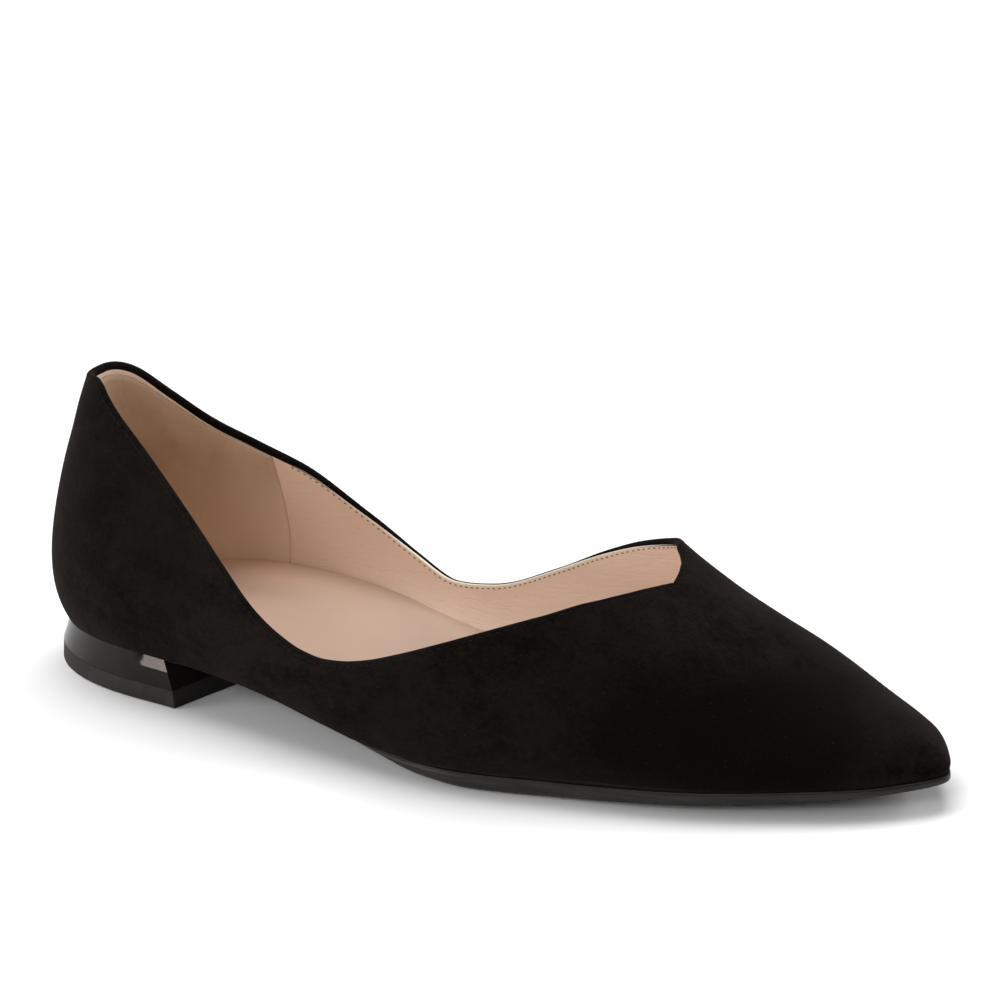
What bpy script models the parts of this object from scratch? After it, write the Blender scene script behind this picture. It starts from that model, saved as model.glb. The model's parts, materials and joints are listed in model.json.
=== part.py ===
"""A pointed ballet flat for the right foot, worked out from the shape of its last.

The pieces are a hollow suede upper, an insole, a thin outsole, a low heel block and its rubber lift.
X runs from heel to toe, Y from the lateral to the medial side and Z up from the floor.
Sizes are in millimetres and become metres when a mesh is made.
"""
import math

import bmesh
import bpy
import numpy as np

MM = 0.001

# Driving sizes of the last and the pieces, in millimetres
LAST_LENGTH = 250.0
TOE_SWING = 3.1
TOE_SWING_START = 0.55
HEEL_ROUND = 40.5
HEEL_ROUND_POWER = 2.1
TOE_ROUND = 13.5
TOE_ROUND_POWER = 2.0
RIDGE_FROM_HEEL = 31.0
RIDGE_FROM_TOE = 9.4
RIDGE_END_SOFTNESS = 5.2
SWELL_FADE_POWER = 8
WALL = 1.8
GAP = 0.3
INSOLE_THICKNESS = 2.5
INSOLE_INSET = 2.8
TREAD_SHARE = 0.72
LIFT_HEIGHT = 4.2
HEEL_FLARE = 3.0
HEEL_SIDE_INSET = 0.4
BREAST_X = 59.2
BREAST_SKEW = 0.15
BREAST_RAKE = 0.26
THROAT_STATION = 0.73

# Middle of the whole shoe seen from above, which becomes the origin
CENTRE_X = 124.19
CENTRE_Y = -2.86

# Counts of points, and how finely points are welded, solved and shaded
SIDE_STEPS = 60
WALL_ROWS = 10
SLAB_STEPS = 40
HEEL_STEPS = 16
WELD_DISTANCE = 0.2
HEEL_CHORD = 0.08
SOLVE_STEPS = 40
TURN_NUDGE = 0.001
BREAST_TURNS = (0.2, 1.8)
SHARP_ANGLE = math.radians(40)

# Base colour, roughness and metallic value of each material
FINISHES = {
    "black_suede": ((0.010, 0.008, 0.007), 0.95, 0.0),
    "rose_leather": ((0.53, 0.34, 0.25), 0.60, 0.0),
    "dark_sole": ((0.030, 0.028, 0.027), 0.50, 0.0),
    "gloss_heel": ((0.045, 0.040, 0.038), 0.20, 0.0),
    "black_rubber": ((0.012, 0.011, 0.011), 0.80, 0.0),
}


def table(columns, *rows):
    """Return a table as one array for each named column."""
    return dict(zip(columns.split(), np.array(rows, dtype=float).T))


# Half widths of the feather edge, station as a share of the last's length
OUTLINE = table(
    "station lateral medial",
    (0.00, 25.9, 25.6),
    (0.10, 27.2, 28.3),
    (0.24, 30.6, 29.8),
    (0.42, 34.7, 25.8),
    (0.56, 37.0, 26.8),
    (0.68, 32.5, 31.4),
    (0.80, 26.8, 29.6),
    (0.90, 17.7, 20.9),
    (1.00, 5.9, 5.7),
)

# Height of the feather edge over the floor: heel seat, arch, ball and toe spring
FEATHER = table(
    "station height",
    (0.00, 10.2),
    (0.21, 11.8),
    (0.30, 11.2),
    (0.36, 9.7),
    (0.42, 7.1),
    (0.48, 4.9),
    (0.54, 4.2),
    (0.62, 4.2),
    (0.72, 4.6),
    (0.86, 5.6),
    (1.00, 7.4),
)

# Height of the last's ridge, which the collar cuts away behind the throat
RIDGE = table(
    "station height",
    (0.00, 87.0),
    (0.30, 87.0),
    (0.45, 79.6),
    (0.58, 66.9),
    (0.70, 45.0),
    (0.82, 29.8),
    (0.92, 18.8),
    (1.00, 13.9),
)

# Sideways place of the ridge
RIDGE_SIDE = table(
    "station offset",
    (0.00, 0.0),
    (0.30, 0.5),
    (0.50, 0.8),
    (0.70, 0.5),
    (0.85, 2.2),
    (1.00, 3.4),
)

# Fullness of the cross sections: how far the wall swells, how high, and how round it is
SECTION = table(
    "station swell swell_height rise_power fall_power",
    (0.00, 5.5, 20.7, 0.99, 2.17),
    (0.25, 3.2, 17.2, 1.22, 1.98),
    (0.50, 2.9, 11.3, 2.08, 2.36),
    (0.70, 2.7, 9.1, 2.03, 2.28),
    (0.90, 2.4, 6.5, 1.83, 2.11),
    (1.00, 1.5, 5.2, 1.92, 2.04),
)

# Height of the collar over the floor on each side, from the back of the heel to the throat
COLLAR_LATERAL = table(
    "station height",
    (0.00, 69.3),
    (0.03, 70.0),
    (0.055, 70.6),
    (0.075, 70.2),
    (0.10, 68.2),
    (0.12, 66.1),
    (0.15, 62.6),
    (0.20, 55.3),
    (0.30, 38.7),
    (0.35, 30.5),
    (0.38, 27.1),
    (0.41, 24.8),
    (0.435, 24.1),
    (0.46, 24.6),
    (0.49, 26.1),
    (0.53, 29.1),
    (0.57, 32.5),
    (0.61, 35.8),
    (0.66, 39.4),
    (0.70, 41.7),
    (0.715, 41.8),
    (0.723, 41.4),
    (0.73, 40.7),
)
COLLAR_MEDIAL = table(
    "station height",
    (0.00, 69.3),
    (0.02, 66.5),
    (0.06, 58.3),
    (0.10, 51.0),
    (0.15, 44.9),
    (0.20, 40.0),
    (0.26, 30.0),
    (0.32, 21.9),
    (0.37, 17.4),
    (0.42, 18.8),
    (0.50, 26.0),
    (0.57, 33.8),
    (0.63, 39.6),
    (0.69, 43.3),
    (0.71, 42.2),
    (0.72, 41.6),
    (0.727, 41.1),
    (0.73, 40.7),
)

# Outsole: how far its edge stands out from the feather edge, its edge thickness, how far the lower
# edge is drawn in, most at the waist, and its tread
OUTSOLE = table(
    "station margin thickness bevel",
    (0.20, -1.4, 1.7, 1.0),
    (0.33, -1.4, 1.7, 3.0),
    (0.42, -1.2, 1.9, 2.6),
    (0.48, -0.6, 2.3, 1.6),
    (0.54, 0.2, 3.2, 0.8),
    (0.60, 0.6, 3.7, 0.5),
    (0.75, 0.6, 3.3, 0.5),
    (0.90, 0.6, 2.2, 0.5),
    (1.00, 0.6, 1.6, 0.5),
)
TREAD = table(
    "station height",
    (0.20, 9.7),
    (0.30, 9.0),
    (0.36, 7.4),
    (0.42, 4.6),
    (0.48, 1.8),
    (0.53, 0.0),
    (0.72, 0.0),
    (0.86, 2.6),
    (1.00, 5.4),
)


def end_slope(near_step, next_step, near_rate, next_rate):
    """Return the slope at the end of a table, kept on the side of its first step."""
    slope = ((2 * near_step + next_step) * near_rate - near_step * next_rate) / (near_step + next_step)
    if slope * near_rate <= 0:
        return 0.0
    if near_rate * next_rate < 0 and abs(slope) > 3 * abs(near_rate):
        return 3 * near_rate
    return slope


def read(rows, column, station):
    """Read a table's column at any station, on a smooth cubic that doesn't overshoot its rows."""
    x, y = rows["station"], rows[column]
    step = np.diff(x)
    rate = np.diff(y) / step
    before, after = rate[:-1], rate[1:]
    same_way = before * after > 0
    weight_before = 2 * step[1:] + step[:-1]
    weight_after = step[1:] + 2 * step[:-1]
    safe_before = np.where(same_way, before, 1.0)
    safe_after = np.where(same_way, after, 1.0)
    mean = (weight_before + weight_after) / (weight_before / safe_before + weight_after / safe_after)
    slope = np.concatenate([
        [end_slope(step[0], step[1], rate[0], rate[1])],
        np.where(same_way, mean, 0.0),
        [end_slope(step[-1], step[-2], rate[-1], rate[-2])],
    ])
    k = np.clip(np.searchsorted(x, station) - 1, 0, len(x) - 2)
    u = (station - x[k]) / step[k]
    start = (1 + 2 * u) * (1 - u) ** 2 * y[k] + u * (1 - u) ** 2 * step[k] * slope[k]
    end = u ** 2 * (3 - 2 * u) * y[k + 1] + u ** 2 * (u - 1) * step[k] * slope[k + 1]
    return start + end


def station_at(turn):
    """Return the station for a turn round the last: 0 at the heel, pi at the toe, medial negative."""
    return (1 - np.cos(turn)) / 2


def turn_at(station):
    """Return the turn on the lateral side for a station."""
    return np.arccos(1 - 2 * station)


def outline(turn):
    """Return the feather edge seen from above, rounded at the heel and at the toe."""
    station = station_at(turn)
    lateral = np.sin(turn) >= 0
    width = np.where(lateral, read(OUTLINE, "lateral", station), read(OUTLINE, "medial", station))
    side = np.where(lateral, -1.0, 1.0)
    from_heel = np.clip(1 - station * LAST_LENGTH / HEEL_ROUND, 0, 1)
    from_toe = np.clip(1 - (1 - station) * LAST_LENGTH / TOE_ROUND, 0, 1)
    heel = (1 - from_heel ** HEEL_ROUND_POWER) ** (1 / HEEL_ROUND_POWER)
    toe = (1 - from_toe ** TOE_ROUND_POWER) ** (1 / TOE_ROUND_POWER)
    swing = TOE_SWING * np.clip((station - TOE_SWING_START) / (1 - TOE_SWING_START), 0, 1) ** 2
    return np.stack([station * LAST_LENGTH, swing + side * width * heel * toe], -1)


def outward(turn):
    """Return the unit normal of the feather edge, seen from above."""
    along = outline(turn + TURN_NUDGE) - outline(turn - TURN_NUDGE)
    along /= np.linalg.norm(along, axis=-1, keepdims=True)
    return np.stack([along[..., 1], -along[..., 0]], -1)


def ridge_point(turn):
    """Return the ridge's place over a turn, its two ends held inside the heel and the toe."""
    x = station_at(turn) * LAST_LENGTH
    first, last = RIDGE_FROM_HEEL, LAST_LENGTH - RIDGE_FROM_TOE
    soft = RIDGE_END_SOFTNESS
    x = first + soft * np.logaddexp(0, (x - first) / soft)
    x = last - soft * np.logaddexp(0, (last - x) / soft)
    return np.stack([x, read(RIDGE_SIDE, "offset", x / LAST_LENGTH)], -1)


def feather_height(x):
    """Return the height of the feather edge at a distance from the heel."""
    return read(FEATHER, "height", np.clip(x / LAST_LENGTH, 0, 1))


def last_point(turn, climb):
    """Return points of the last, climb 0 at the feather edge and 1 on the ridge.

    A rib leaves the feather edge, swells out and rounds over to the ridge as a superellipse.
    """
    turn, climb = np.broadcast_arrays(np.asarray(turn, float), np.asarray(climb, float))
    station = station_at(turn)
    edge, ridge = outline(turn), ridge_point(turn)
    rise = np.sin(math.pi / 2 * climb) ** (2 / read(SECTION, "rise_power", station))
    reach = np.cos(math.pi / 2 * climb).clip(0) ** (2 / read(SECTION, "fall_power", station))
    over = ridge[..., 0] / LAST_LENGTH
    height = rise * (read(RIDGE, "height", over) - feather_height(ridge[..., 0]))
    level = height / read(SECTION, "swell_height", station)
    swell = read(SECTION, "swell", station) * level * np.exp(1 - level) * (1 - climb ** SWELL_FADE_POWER)
    plan = ridge + (edge - ridge) * reach[..., None] + outward(turn) * swell[..., None]
    low = feather_height(plan[..., 0])
    z = low + rise * (read(RIDGE, "height", plan[..., 0] / LAST_LENGTH) - low)
    return np.concatenate([plan, z[..., None]], -1)


def climb_to(turn, height):
    """Return the climb at which a rib reaches a height over the floor, by halving."""
    low, high = np.zeros_like(turn), np.ones_like(turn)
    for _ in range(SOLVE_STEPS):
        middle = (low + high) / 2
        below = last_point(turn, middle)[..., 2] < height
        low, high = np.where(below, middle, low), np.where(below, high, middle)
    return (low + high) / 2


def collar_climb(turn):
    """Return the climb of the collar, or 1 in front of the throat where the upper is closed."""
    station = station_at(turn)
    lateral = read(COLLAR_LATERAL, "height", station)
    medial = read(COLLAR_MEDIAL, "height", station)
    climb = climb_to(turn, np.where(np.sin(turn) >= 0, lateral, medial))
    throat = turn_at(THROAT_STATION)
    return np.where(np.abs(turn) < throat - TURN_NUDGE, climb, 1.0)


def moved_out(turn, points, distance):
    """Return points moved away from the ridge, seen from above."""
    away = points[..., :2] - ridge_point(turn)
    away /= np.linalg.norm(away, axis=-1, keepdims=True)
    plan = points[..., :2] + away * np.asarray(distance, float)[..., None]
    return np.concatenate([plan, points[..., 2:]], -1)


def breast_x(points):
    """Return how far forward the front of the heel reaches: slanted on the block, upright on the lift."""
    return BREAST_X + BREAST_SKEW * points[..., 1] - BREAST_RAKE * np.maximum(points[..., 2], LIFT_HEIGHT)


def breast_turn(ring, side, gap):
    """Return the turn at which a ring crosses the front of the heel, by halving."""
    low, high = BREAST_TURNS
    for _ in range(SOLVE_STEPS):
        middle = (low + high) / 2
        point = ring(np.array([side * middle]))[0]
        behind = point[0] < breast_x(point) + gap
        low, high = (middle, high) if behind else (low, middle)
    return side * (low + high) / 2


def sole_top(turn):
    """Return the outsole's upper edge."""
    points = moved_out(turn, last_point(turn, 0.0), read(OUTSOLE, "margin", station_at(turn)))
    points[..., 2] -= GAP
    return points


def sole_edge(turn):
    """Return the outsole's lower edge, drawn in a little by its bevel."""
    station = station_at(turn)
    out = read(OUTSOLE, "margin", station) - read(OUTSOLE, "bevel", station)
    points = moved_out(turn, last_point(turn, 0.0), out)
    points[..., 2] -= read(OUTSOLE, "thickness", station)
    return points


def sole_tread(turn):
    """Return the edge of the outsole's tread, which is flat on the floor under the ball."""
    points = sole_edge(turn)
    ridge = ridge_point(turn)
    points[..., :2] = ridge + (points[..., :2] - ridge) * TREAD_SHARE
    points[..., 2] = read(TREAD, "height", points[..., 0] / LAST_LENGTH)
    return points


def insole_ring(rise):
    """Return a function for the insole's edge at a rise over the feather edge."""
    def ring(turn):
        points = last_point(turn, climb_to(turn, feather_height(outline(turn)[..., 0]) + rise))
        points = moved_out(turn, points, np.full_like(turn, -INSOLE_INSET))
        points[..., 2] = feather_height(points[..., 0]) + rise
        return points
    return ring


def heel_ring(height, flare):
    """Return a function for the heel's edge, flared most at the back; no height means the seat."""
    def ring(turn):
        points = last_point(turn, 0.0)
        x = points[..., 0]
        back = ((BREAST_X - x) / (BREAST_X + x)).clip(0)
        points = moved_out(turn, points, flare * back - HEEL_SIDE_INSET)
        if height is None:
            points[..., 2] = feather_height(points[..., 0]) - GAP
        else:
            points[..., 2] = height
        return points
    return ring


def mesh_object(name, points, faces, finish):
    """Return a mesh object in metres with its own material, smooth where its faces meet softly."""
    mesh = bpy.data.meshes.new(name)
    mesh.from_pydata((points.reshape(-1, 3) * MM).tolist(), [], faces)
    bm = bmesh.new()
    bm.from_mesh(mesh)
    bmesh.ops.remove_doubles(bm, verts=bm.verts, dist=WELD_DISTANCE * MM)
    bmesh.ops.recalc_face_normals(bm, faces=bm.faces)
    bm.to_mesh(mesh)
    bm.free()
    mesh.shade_smooth()
    mesh.set_sharp_from_angle(angle=SHARP_ANGLE)
    mesh.materials.append(material(finish))
    return bpy.data.objects.new(name, mesh)


def material(finish):
    """Return a Principled material for a named finish."""
    colour, roughness, metallic = FINISHES[finish]
    made = bpy.data.materials.new(finish)
    made.use_nodes = True
    shader = made.node_tree.nodes["Principled BSDF"]
    shader.inputs["Base Color"].default_value = (*colour, 1.0)
    shader.inputs["Roughness"].default_value = roughness
    shader.inputs["Metallic"].default_value = metallic
    return made


def slab(name, rings, finish):
    """Return a closed solid through rings of equal count, first ring on top.

    A ring runs along one side to a tip and back along the other, so point i faces point -1 - i.
    """
    rings = np.array(rings)
    layers, count = rings.shape[:2]
    half = count // 2
    faces = []
    for layer in range(layers - 1):
        for i in range(count):
            j = (i + 1) % count
            upper, lower = layer * count, (layer + 1) * count
            faces.append((upper + i, upper + j, lower + j, lower + i))
    for first in (0, (layers - 1) * count):
        for i in range(half - 1):
            faces.append((first + i, first + i + 1, first + count - 2 - i, first + count - 1 - i))
        faces.append((first + half - 1, first + half, first + half + 1))
    return mesh_object(name, rings, faces, finish)


def ring_to_toe(ring, lateral_start, medial_start):
    """Return a ring's points from a start on the lateral side round the toe to one on the medial side."""
    there = np.linspace(lateral_start, math.pi, SLAB_STEPS + 1)
    back = np.linspace(-math.pi, medial_start, SLAB_STEPS + 1)[1:]
    return ring(np.concatenate([there, back]))


def ring_round_heel(ring):
    """Return a ring's points from the front of the heel on the lateral side round to the medial side."""
    there = np.linspace(breast_turn(ring, 1, 0.0), 0.0, HEEL_STEPS + 1)
    back = np.linspace(0.0, breast_turn(ring, -1, 0.0), HEEL_STEPS + 1)[1:]
    return ring(np.concatenate([there, back]))


def make_upper():
    """Return the hollow upper: ribs round the last up to the collar or the ridge, given a wall."""
    half = np.linspace(0.0, math.pi, SIDE_STEPS + 1)
    throat = turn_at(THROAT_STATION)
    half[np.argmin(np.abs(half - throat))] = throat
    turns = np.concatenate([half, -half[-2:0:-1]])
    rows = np.linspace(0.0, 1.0, WALL_ROWS + 1)
    points = last_point(turns[:, None], collar_climb(turns)[:, None] * rows)
    ribs, levels = points.shape[:2]
    faces = []
    for i in range(ribs):
        j = (i + 1) % ribs
        for k in range(levels - 1):
            faces.append((i * levels + k, j * levels + k, j * levels + k + 1, i * levels + k + 1))
    upper = mesh_object("upper", points, faces, "black_suede")
    wall = upper.modifiers.new("wall", "SOLIDIFY")
    wall.thickness = WALL * MM
    wall.offset = -1.0
    return upper


def make_insole():
    """Return the insole, a plate inside the wall that follows the seat, the arch and the toe spring."""
    rings = [insole_ring(INSOLE_THICKNESS), insole_ring(0.0)]
    return slab("insole", [ring_to_toe(ring, HEEL_CHORD, -HEEL_CHORD) for ring in rings], "rose_leather")


def make_outsole():
    """Return the outsole, from the front of the heel to the toe."""
    rings = []
    for ring in (sole_top, sole_edge, sole_tread):
        rings.append(ring_to_toe(ring, breast_turn(ring, 1, GAP), breast_turn(ring, -1, GAP)))
    return slab("outsole", rings, "dark_sole")


def make_heel_block():
    """Return the glossy heel block between the seat and the lift."""
    rings = [heel_ring(None, 0.0), heel_ring(LIFT_HEIGHT + GAP, HEEL_FLARE)]
    return slab("heel_block", [ring_round_heel(ring) for ring in rings], "gloss_heel")


def make_heel_lift():
    """Return the rubber lift that stands on the floor."""
    rings = [heel_ring(LIFT_HEIGHT, HEEL_FLARE), heel_ring(0.0, HEEL_FLARE)]
    return slab("heel_lift", [ring_round_heel(ring) for ring in rings], "black_rubber")


def main():
    """Clear the scene and build the shoe, its middle over the origin."""
    for old in list(bpy.data.objects):
        bpy.data.objects.remove(old)
    shoe = bpy.data.collections.new("ballet_flat")
    bpy.context.scene.collection.children.link(shoe)
    last = bpy.data.objects.new("last", None)
    last.location = (-CENTRE_X * MM, -CENTRE_Y * MM, 0.0)
    shoe.objects.link(last)
    for make in (make_upper, make_insole, make_outsole, make_heel_block, make_heel_lift):
        piece = make()
        piece.parent = last
        shoe.objects.link(piece)


main()
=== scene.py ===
"""A black suede pointed flat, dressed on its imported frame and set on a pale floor.

The suede, the folded collar edge, the lining, the insole, the sole and the heel are surfaces worked out
with numpy from the same last as the solids. Shapes are in millimetres from the back of the heel at floor
level, X to the toe, Y to the medial side, Z up, and become metres in the frame when a mesh is made.
"""
from __future__ import annotations

import json
import logging
import math
from dataclasses import dataclass
from enum import Enum
from typing import Any, Callable, Mapping, Sequence

import bmesh
import bpy
import numpy as np
from mathutils import Matrix, Vector

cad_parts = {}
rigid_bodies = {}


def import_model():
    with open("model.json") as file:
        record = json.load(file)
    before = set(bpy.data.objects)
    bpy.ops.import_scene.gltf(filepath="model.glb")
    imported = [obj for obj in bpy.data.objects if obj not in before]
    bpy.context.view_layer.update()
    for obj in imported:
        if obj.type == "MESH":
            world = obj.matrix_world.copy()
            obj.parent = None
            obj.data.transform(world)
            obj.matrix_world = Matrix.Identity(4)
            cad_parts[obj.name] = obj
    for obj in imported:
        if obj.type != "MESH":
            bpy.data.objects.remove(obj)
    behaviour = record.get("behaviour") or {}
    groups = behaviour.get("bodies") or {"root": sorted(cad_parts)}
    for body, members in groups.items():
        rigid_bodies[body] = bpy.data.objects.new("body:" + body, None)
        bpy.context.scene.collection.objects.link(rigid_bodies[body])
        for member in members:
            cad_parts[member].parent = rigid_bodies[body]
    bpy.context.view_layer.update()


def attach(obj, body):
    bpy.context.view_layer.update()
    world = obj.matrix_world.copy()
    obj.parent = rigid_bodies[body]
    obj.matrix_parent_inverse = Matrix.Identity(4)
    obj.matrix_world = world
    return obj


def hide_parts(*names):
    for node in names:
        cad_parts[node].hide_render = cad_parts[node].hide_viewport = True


LOG = logging.getLogger("pointed_flat")
MM = 0.001
Array = np.ndarray
Colour = tuple[float, float, float]
Axes = tuple[float, float, float]
Span = tuple[float, float]
Ring = Callable[[Array], Array]
EVEN = (1.0, 1.0, 1.0)
FINE_WELD = 0.0001
SOLID_WELD = 0.02


class Side(Enum):
    """A side of the shoe, as the sign of its turns round the last."""

    LATERAL = 1
    MEDIAL = -1


@dataclass(frozen=True)
class Table:
    """Named columns over stations, read on a smooth cubic that never overshoots its rows."""

    columns: dict[str, Array]

    @classmethod
    def of(cls, names: str, *rows: tuple[float, ...]) -> "Table":
        """Return a table with a column for each name."""
        return cls(dict(zip(names.split(), np.array(rows, dtype=float).T)))

    @staticmethod
    def _end_slope(near: float, after: float, rate: float, next_rate: float) -> float:
        """Return the slope at one end, kept on the side of its first step."""
        slope = ((2 * near + after) * rate - near * next_rate) / (near + after)
        if slope * rate <= 0:
            return 0.0
        if rate * next_rate < 0 and abs(slope) > 3 * abs(rate):
            return 3 * rate
        return slope

    def read(self, column: str, station: Array) -> Array:
        """Read a column at any stations.

        The slope at a row is the weighted harmonic mean of the rates on its two sides, or none at a peak,
        and a cubic joins the rows.

        Args:
            column: the column's name.
            station: shares of the last's length.

        Returns:
            The column's values there.
        """
        x, y = self.columns["station"], self.columns[column]
        step = np.diff(x)
        rate = np.diff(y) / step
        same = rate[:-1] * rate[1:] > 0
        first, second = 2 * step[1:] + step[:-1], step[1:] + 2 * step[:-1]
        before, after = np.where(same, rate[:-1], 1.0), np.where(same, rate[1:], 1.0)
        middle = np.where(same, (first + second) / (first / before + second / after), 0.0)
        start = self._end_slope(step[0], step[1], rate[0], rate[1])
        end = self._end_slope(step[-1], step[-2], rate[-1], rate[-2])
        slope = np.concatenate([[start], middle, [end]])
        k = np.clip(np.searchsorted(x, station) - 1, 0, len(x) - 2)
        u = (station - x[k]) / step[k]
        left = (1 + 2 * u) * (1 - u) ** 2 * y[k] + u * (1 - u) ** 2 * step[k] * slope[k]
        right = u ** 2 * (3 - 2 * u) * y[k + 1] + u ** 2 * (u - 1) * step[k] * slope[k + 1]
        return left + right

    def by_side(self, turn: Array, station: Array) -> Array:
        """Read the lateral or the medial column, whichever side each turn is on."""
        return np.where(np.sin(turn) >= 0, self.read("lateral", station), self.read("medial", station))


OUTLINE = Table.of(
    "station lateral medial",
    (0.00, 25.9, 25.6), (0.10, 27.2, 28.3), (0.24, 30.6, 29.8), (0.42, 34.7, 25.8), (0.56, 37.0, 26.8),
    (0.68, 32.5, 31.4), (0.80, 26.8, 29.6), (0.90, 17.7, 20.9), (1.00, 5.9, 5.7),
)
FEATHER = Table.of(
    "station height",
    (0.00, 10.2), (0.21, 11.8), (0.30, 11.2), (0.36, 9.7), (0.42, 7.1), (0.48, 4.9), (0.54, 4.2),
    (0.62, 4.2), (0.72, 4.6), (0.86, 5.6), (1.00, 7.4),
)
RIDGE = Table.of(
    "station height",
    (0.00, 87.0), (0.30, 87.0), (0.45, 79.6), (0.58, 66.9), (0.70, 45.0), (0.82, 29.8), (0.92, 18.8),
    (1.00, 13.9),
)
RIDGE_SIDE = Table.of(
    "station offset",
    (0.00, 0.0), (0.30, 0.5), (0.50, 0.8), (0.70, 0.5), (0.85, 2.2), (1.00, 3.4),
)
SECTION = Table.of(
    "station swell swell_height rise_power fall_power",
    (0.00, 5.5, 20.7, 0.99, 2.17), (0.25, 3.2, 17.2, 1.22, 1.98), (0.50, 2.9, 11.3, 2.08, 2.36),
    (0.70, 2.7, 9.1, 2.03, 2.28), (0.90, 2.4, 6.5, 1.83, 2.11), (1.00, 1.5, 5.2, 1.92, 2.04),
)
COLLAR_LATERAL = Table.of(
    "station height",
    (0.00, 69.5), (0.03, 70.5), (0.055, 70.9), (0.075, 70.3), (0.10, 68.2), (0.12, 66.1), (0.15, 62.6),
    (0.20, 55.3), (0.30, 38.7), (0.35, 30.5), (0.38, 27.1), (0.41, 24.8), (0.435, 24.1), (0.46, 24.6),
    (0.49, 26.1), (0.53, 29.1), (0.57, 32.5), (0.61, 35.8), (0.66, 39.4), (0.70, 41.7), (0.73, 40.7),
)
COLLAR_MEDIAL = Table.of(
    "station height",
    (0.00, 69.5), (0.02, 66.7), (0.06, 58.7), (0.10, 51.4), (0.15, 45.5), (0.20, 40.6), (0.26, 30.6),
    (0.32, 22.4), (0.37, 17.8), (0.42, 19.2), (0.50, 26.4), (0.57, 34.2), (0.61, 38.0), (0.65, 40.8),
    (0.69, 43.1), (0.73, 40.7),
)
OUTSOLE_EDGE = Table.of(
    "station margin thickness bevel",
    (0.20, -1.4, 1.7, 1.0), (0.33, -1.4, 1.7, 3.0), (0.42, -1.2, 1.9, 2.6), (0.48, -0.6, 2.3, 1.6),
    (0.54, 0.2, 3.2, 0.8), (0.60, 0.6, 3.7, 0.5), (0.75, 0.6, 3.3, 0.5), (0.90, 0.6, 2.5, 0.5),
    (1.00, 0.6, 1.8, 0.5),
)
TREAD = Table.of(
    "station height",
    (0.20, 9.7), (0.30, 9.0), (0.36, 7.4), (0.42, 4.6), (0.48, 1.8), (0.53, 0.0), (0.72, 0.0),
    (0.86, 2.4), (1.00, 5.2),
)
# How far up the last the collar runs just behind the throat, straight to its corner
THROAT = Table.of(
    "station lateral medial",
    (0.680, 0.625, 0.720), (0.692, 0.690, 0.758), (0.699, 0.735, 0.788), (0.705, 0.776, 0.820),
    (0.711, 0.821, 0.853), (0.715, 0.856, 0.883), (0.719, 0.896, 0.914), (0.7225, 0.932, 0.946),
    (0.726, 0.974, 0.981), (0.728, 1.000, 1.000),
)
# How far the suede is folded down inside the collar
FOLD_DEPTH = Table.of(
    "station lateral medial",
    (0.00, 1.6, 1.50), (0.12, 1.6, 1.50), (0.20, 1.5, 1.20), (0.27, 1.4, 0.70), (0.33, 1.3, 0.40),
    (0.50, 1.3, 0.40), (0.57, 1.3, 0.70), (0.63, 1.2, 1.05), (0.69, 1.1, 1.30), (0.73, 1.1, 1.20),
)


def unit(vectors: Array) -> Array:
    """Return vectors of length one."""
    return vectors / np.maximum(np.linalg.norm(vectors, axis=-1, keepdims=True), 1e-12)


def soft_step(low: float, high: float, value: Array) -> Array:
    """Return 0 below low and 1 above high, with a smooth rise between them."""
    x = np.clip((value - low) / (high - low), 0, 1)
    return x * x * (3 - 2 * x)


@dataclass(frozen=True)
class Crease:
    """A soft trough or ridge on the wall, between two places given as station and climb on one side."""

    side: Side
    start: Span
    end: Span
    width: float
    depth: float


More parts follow.
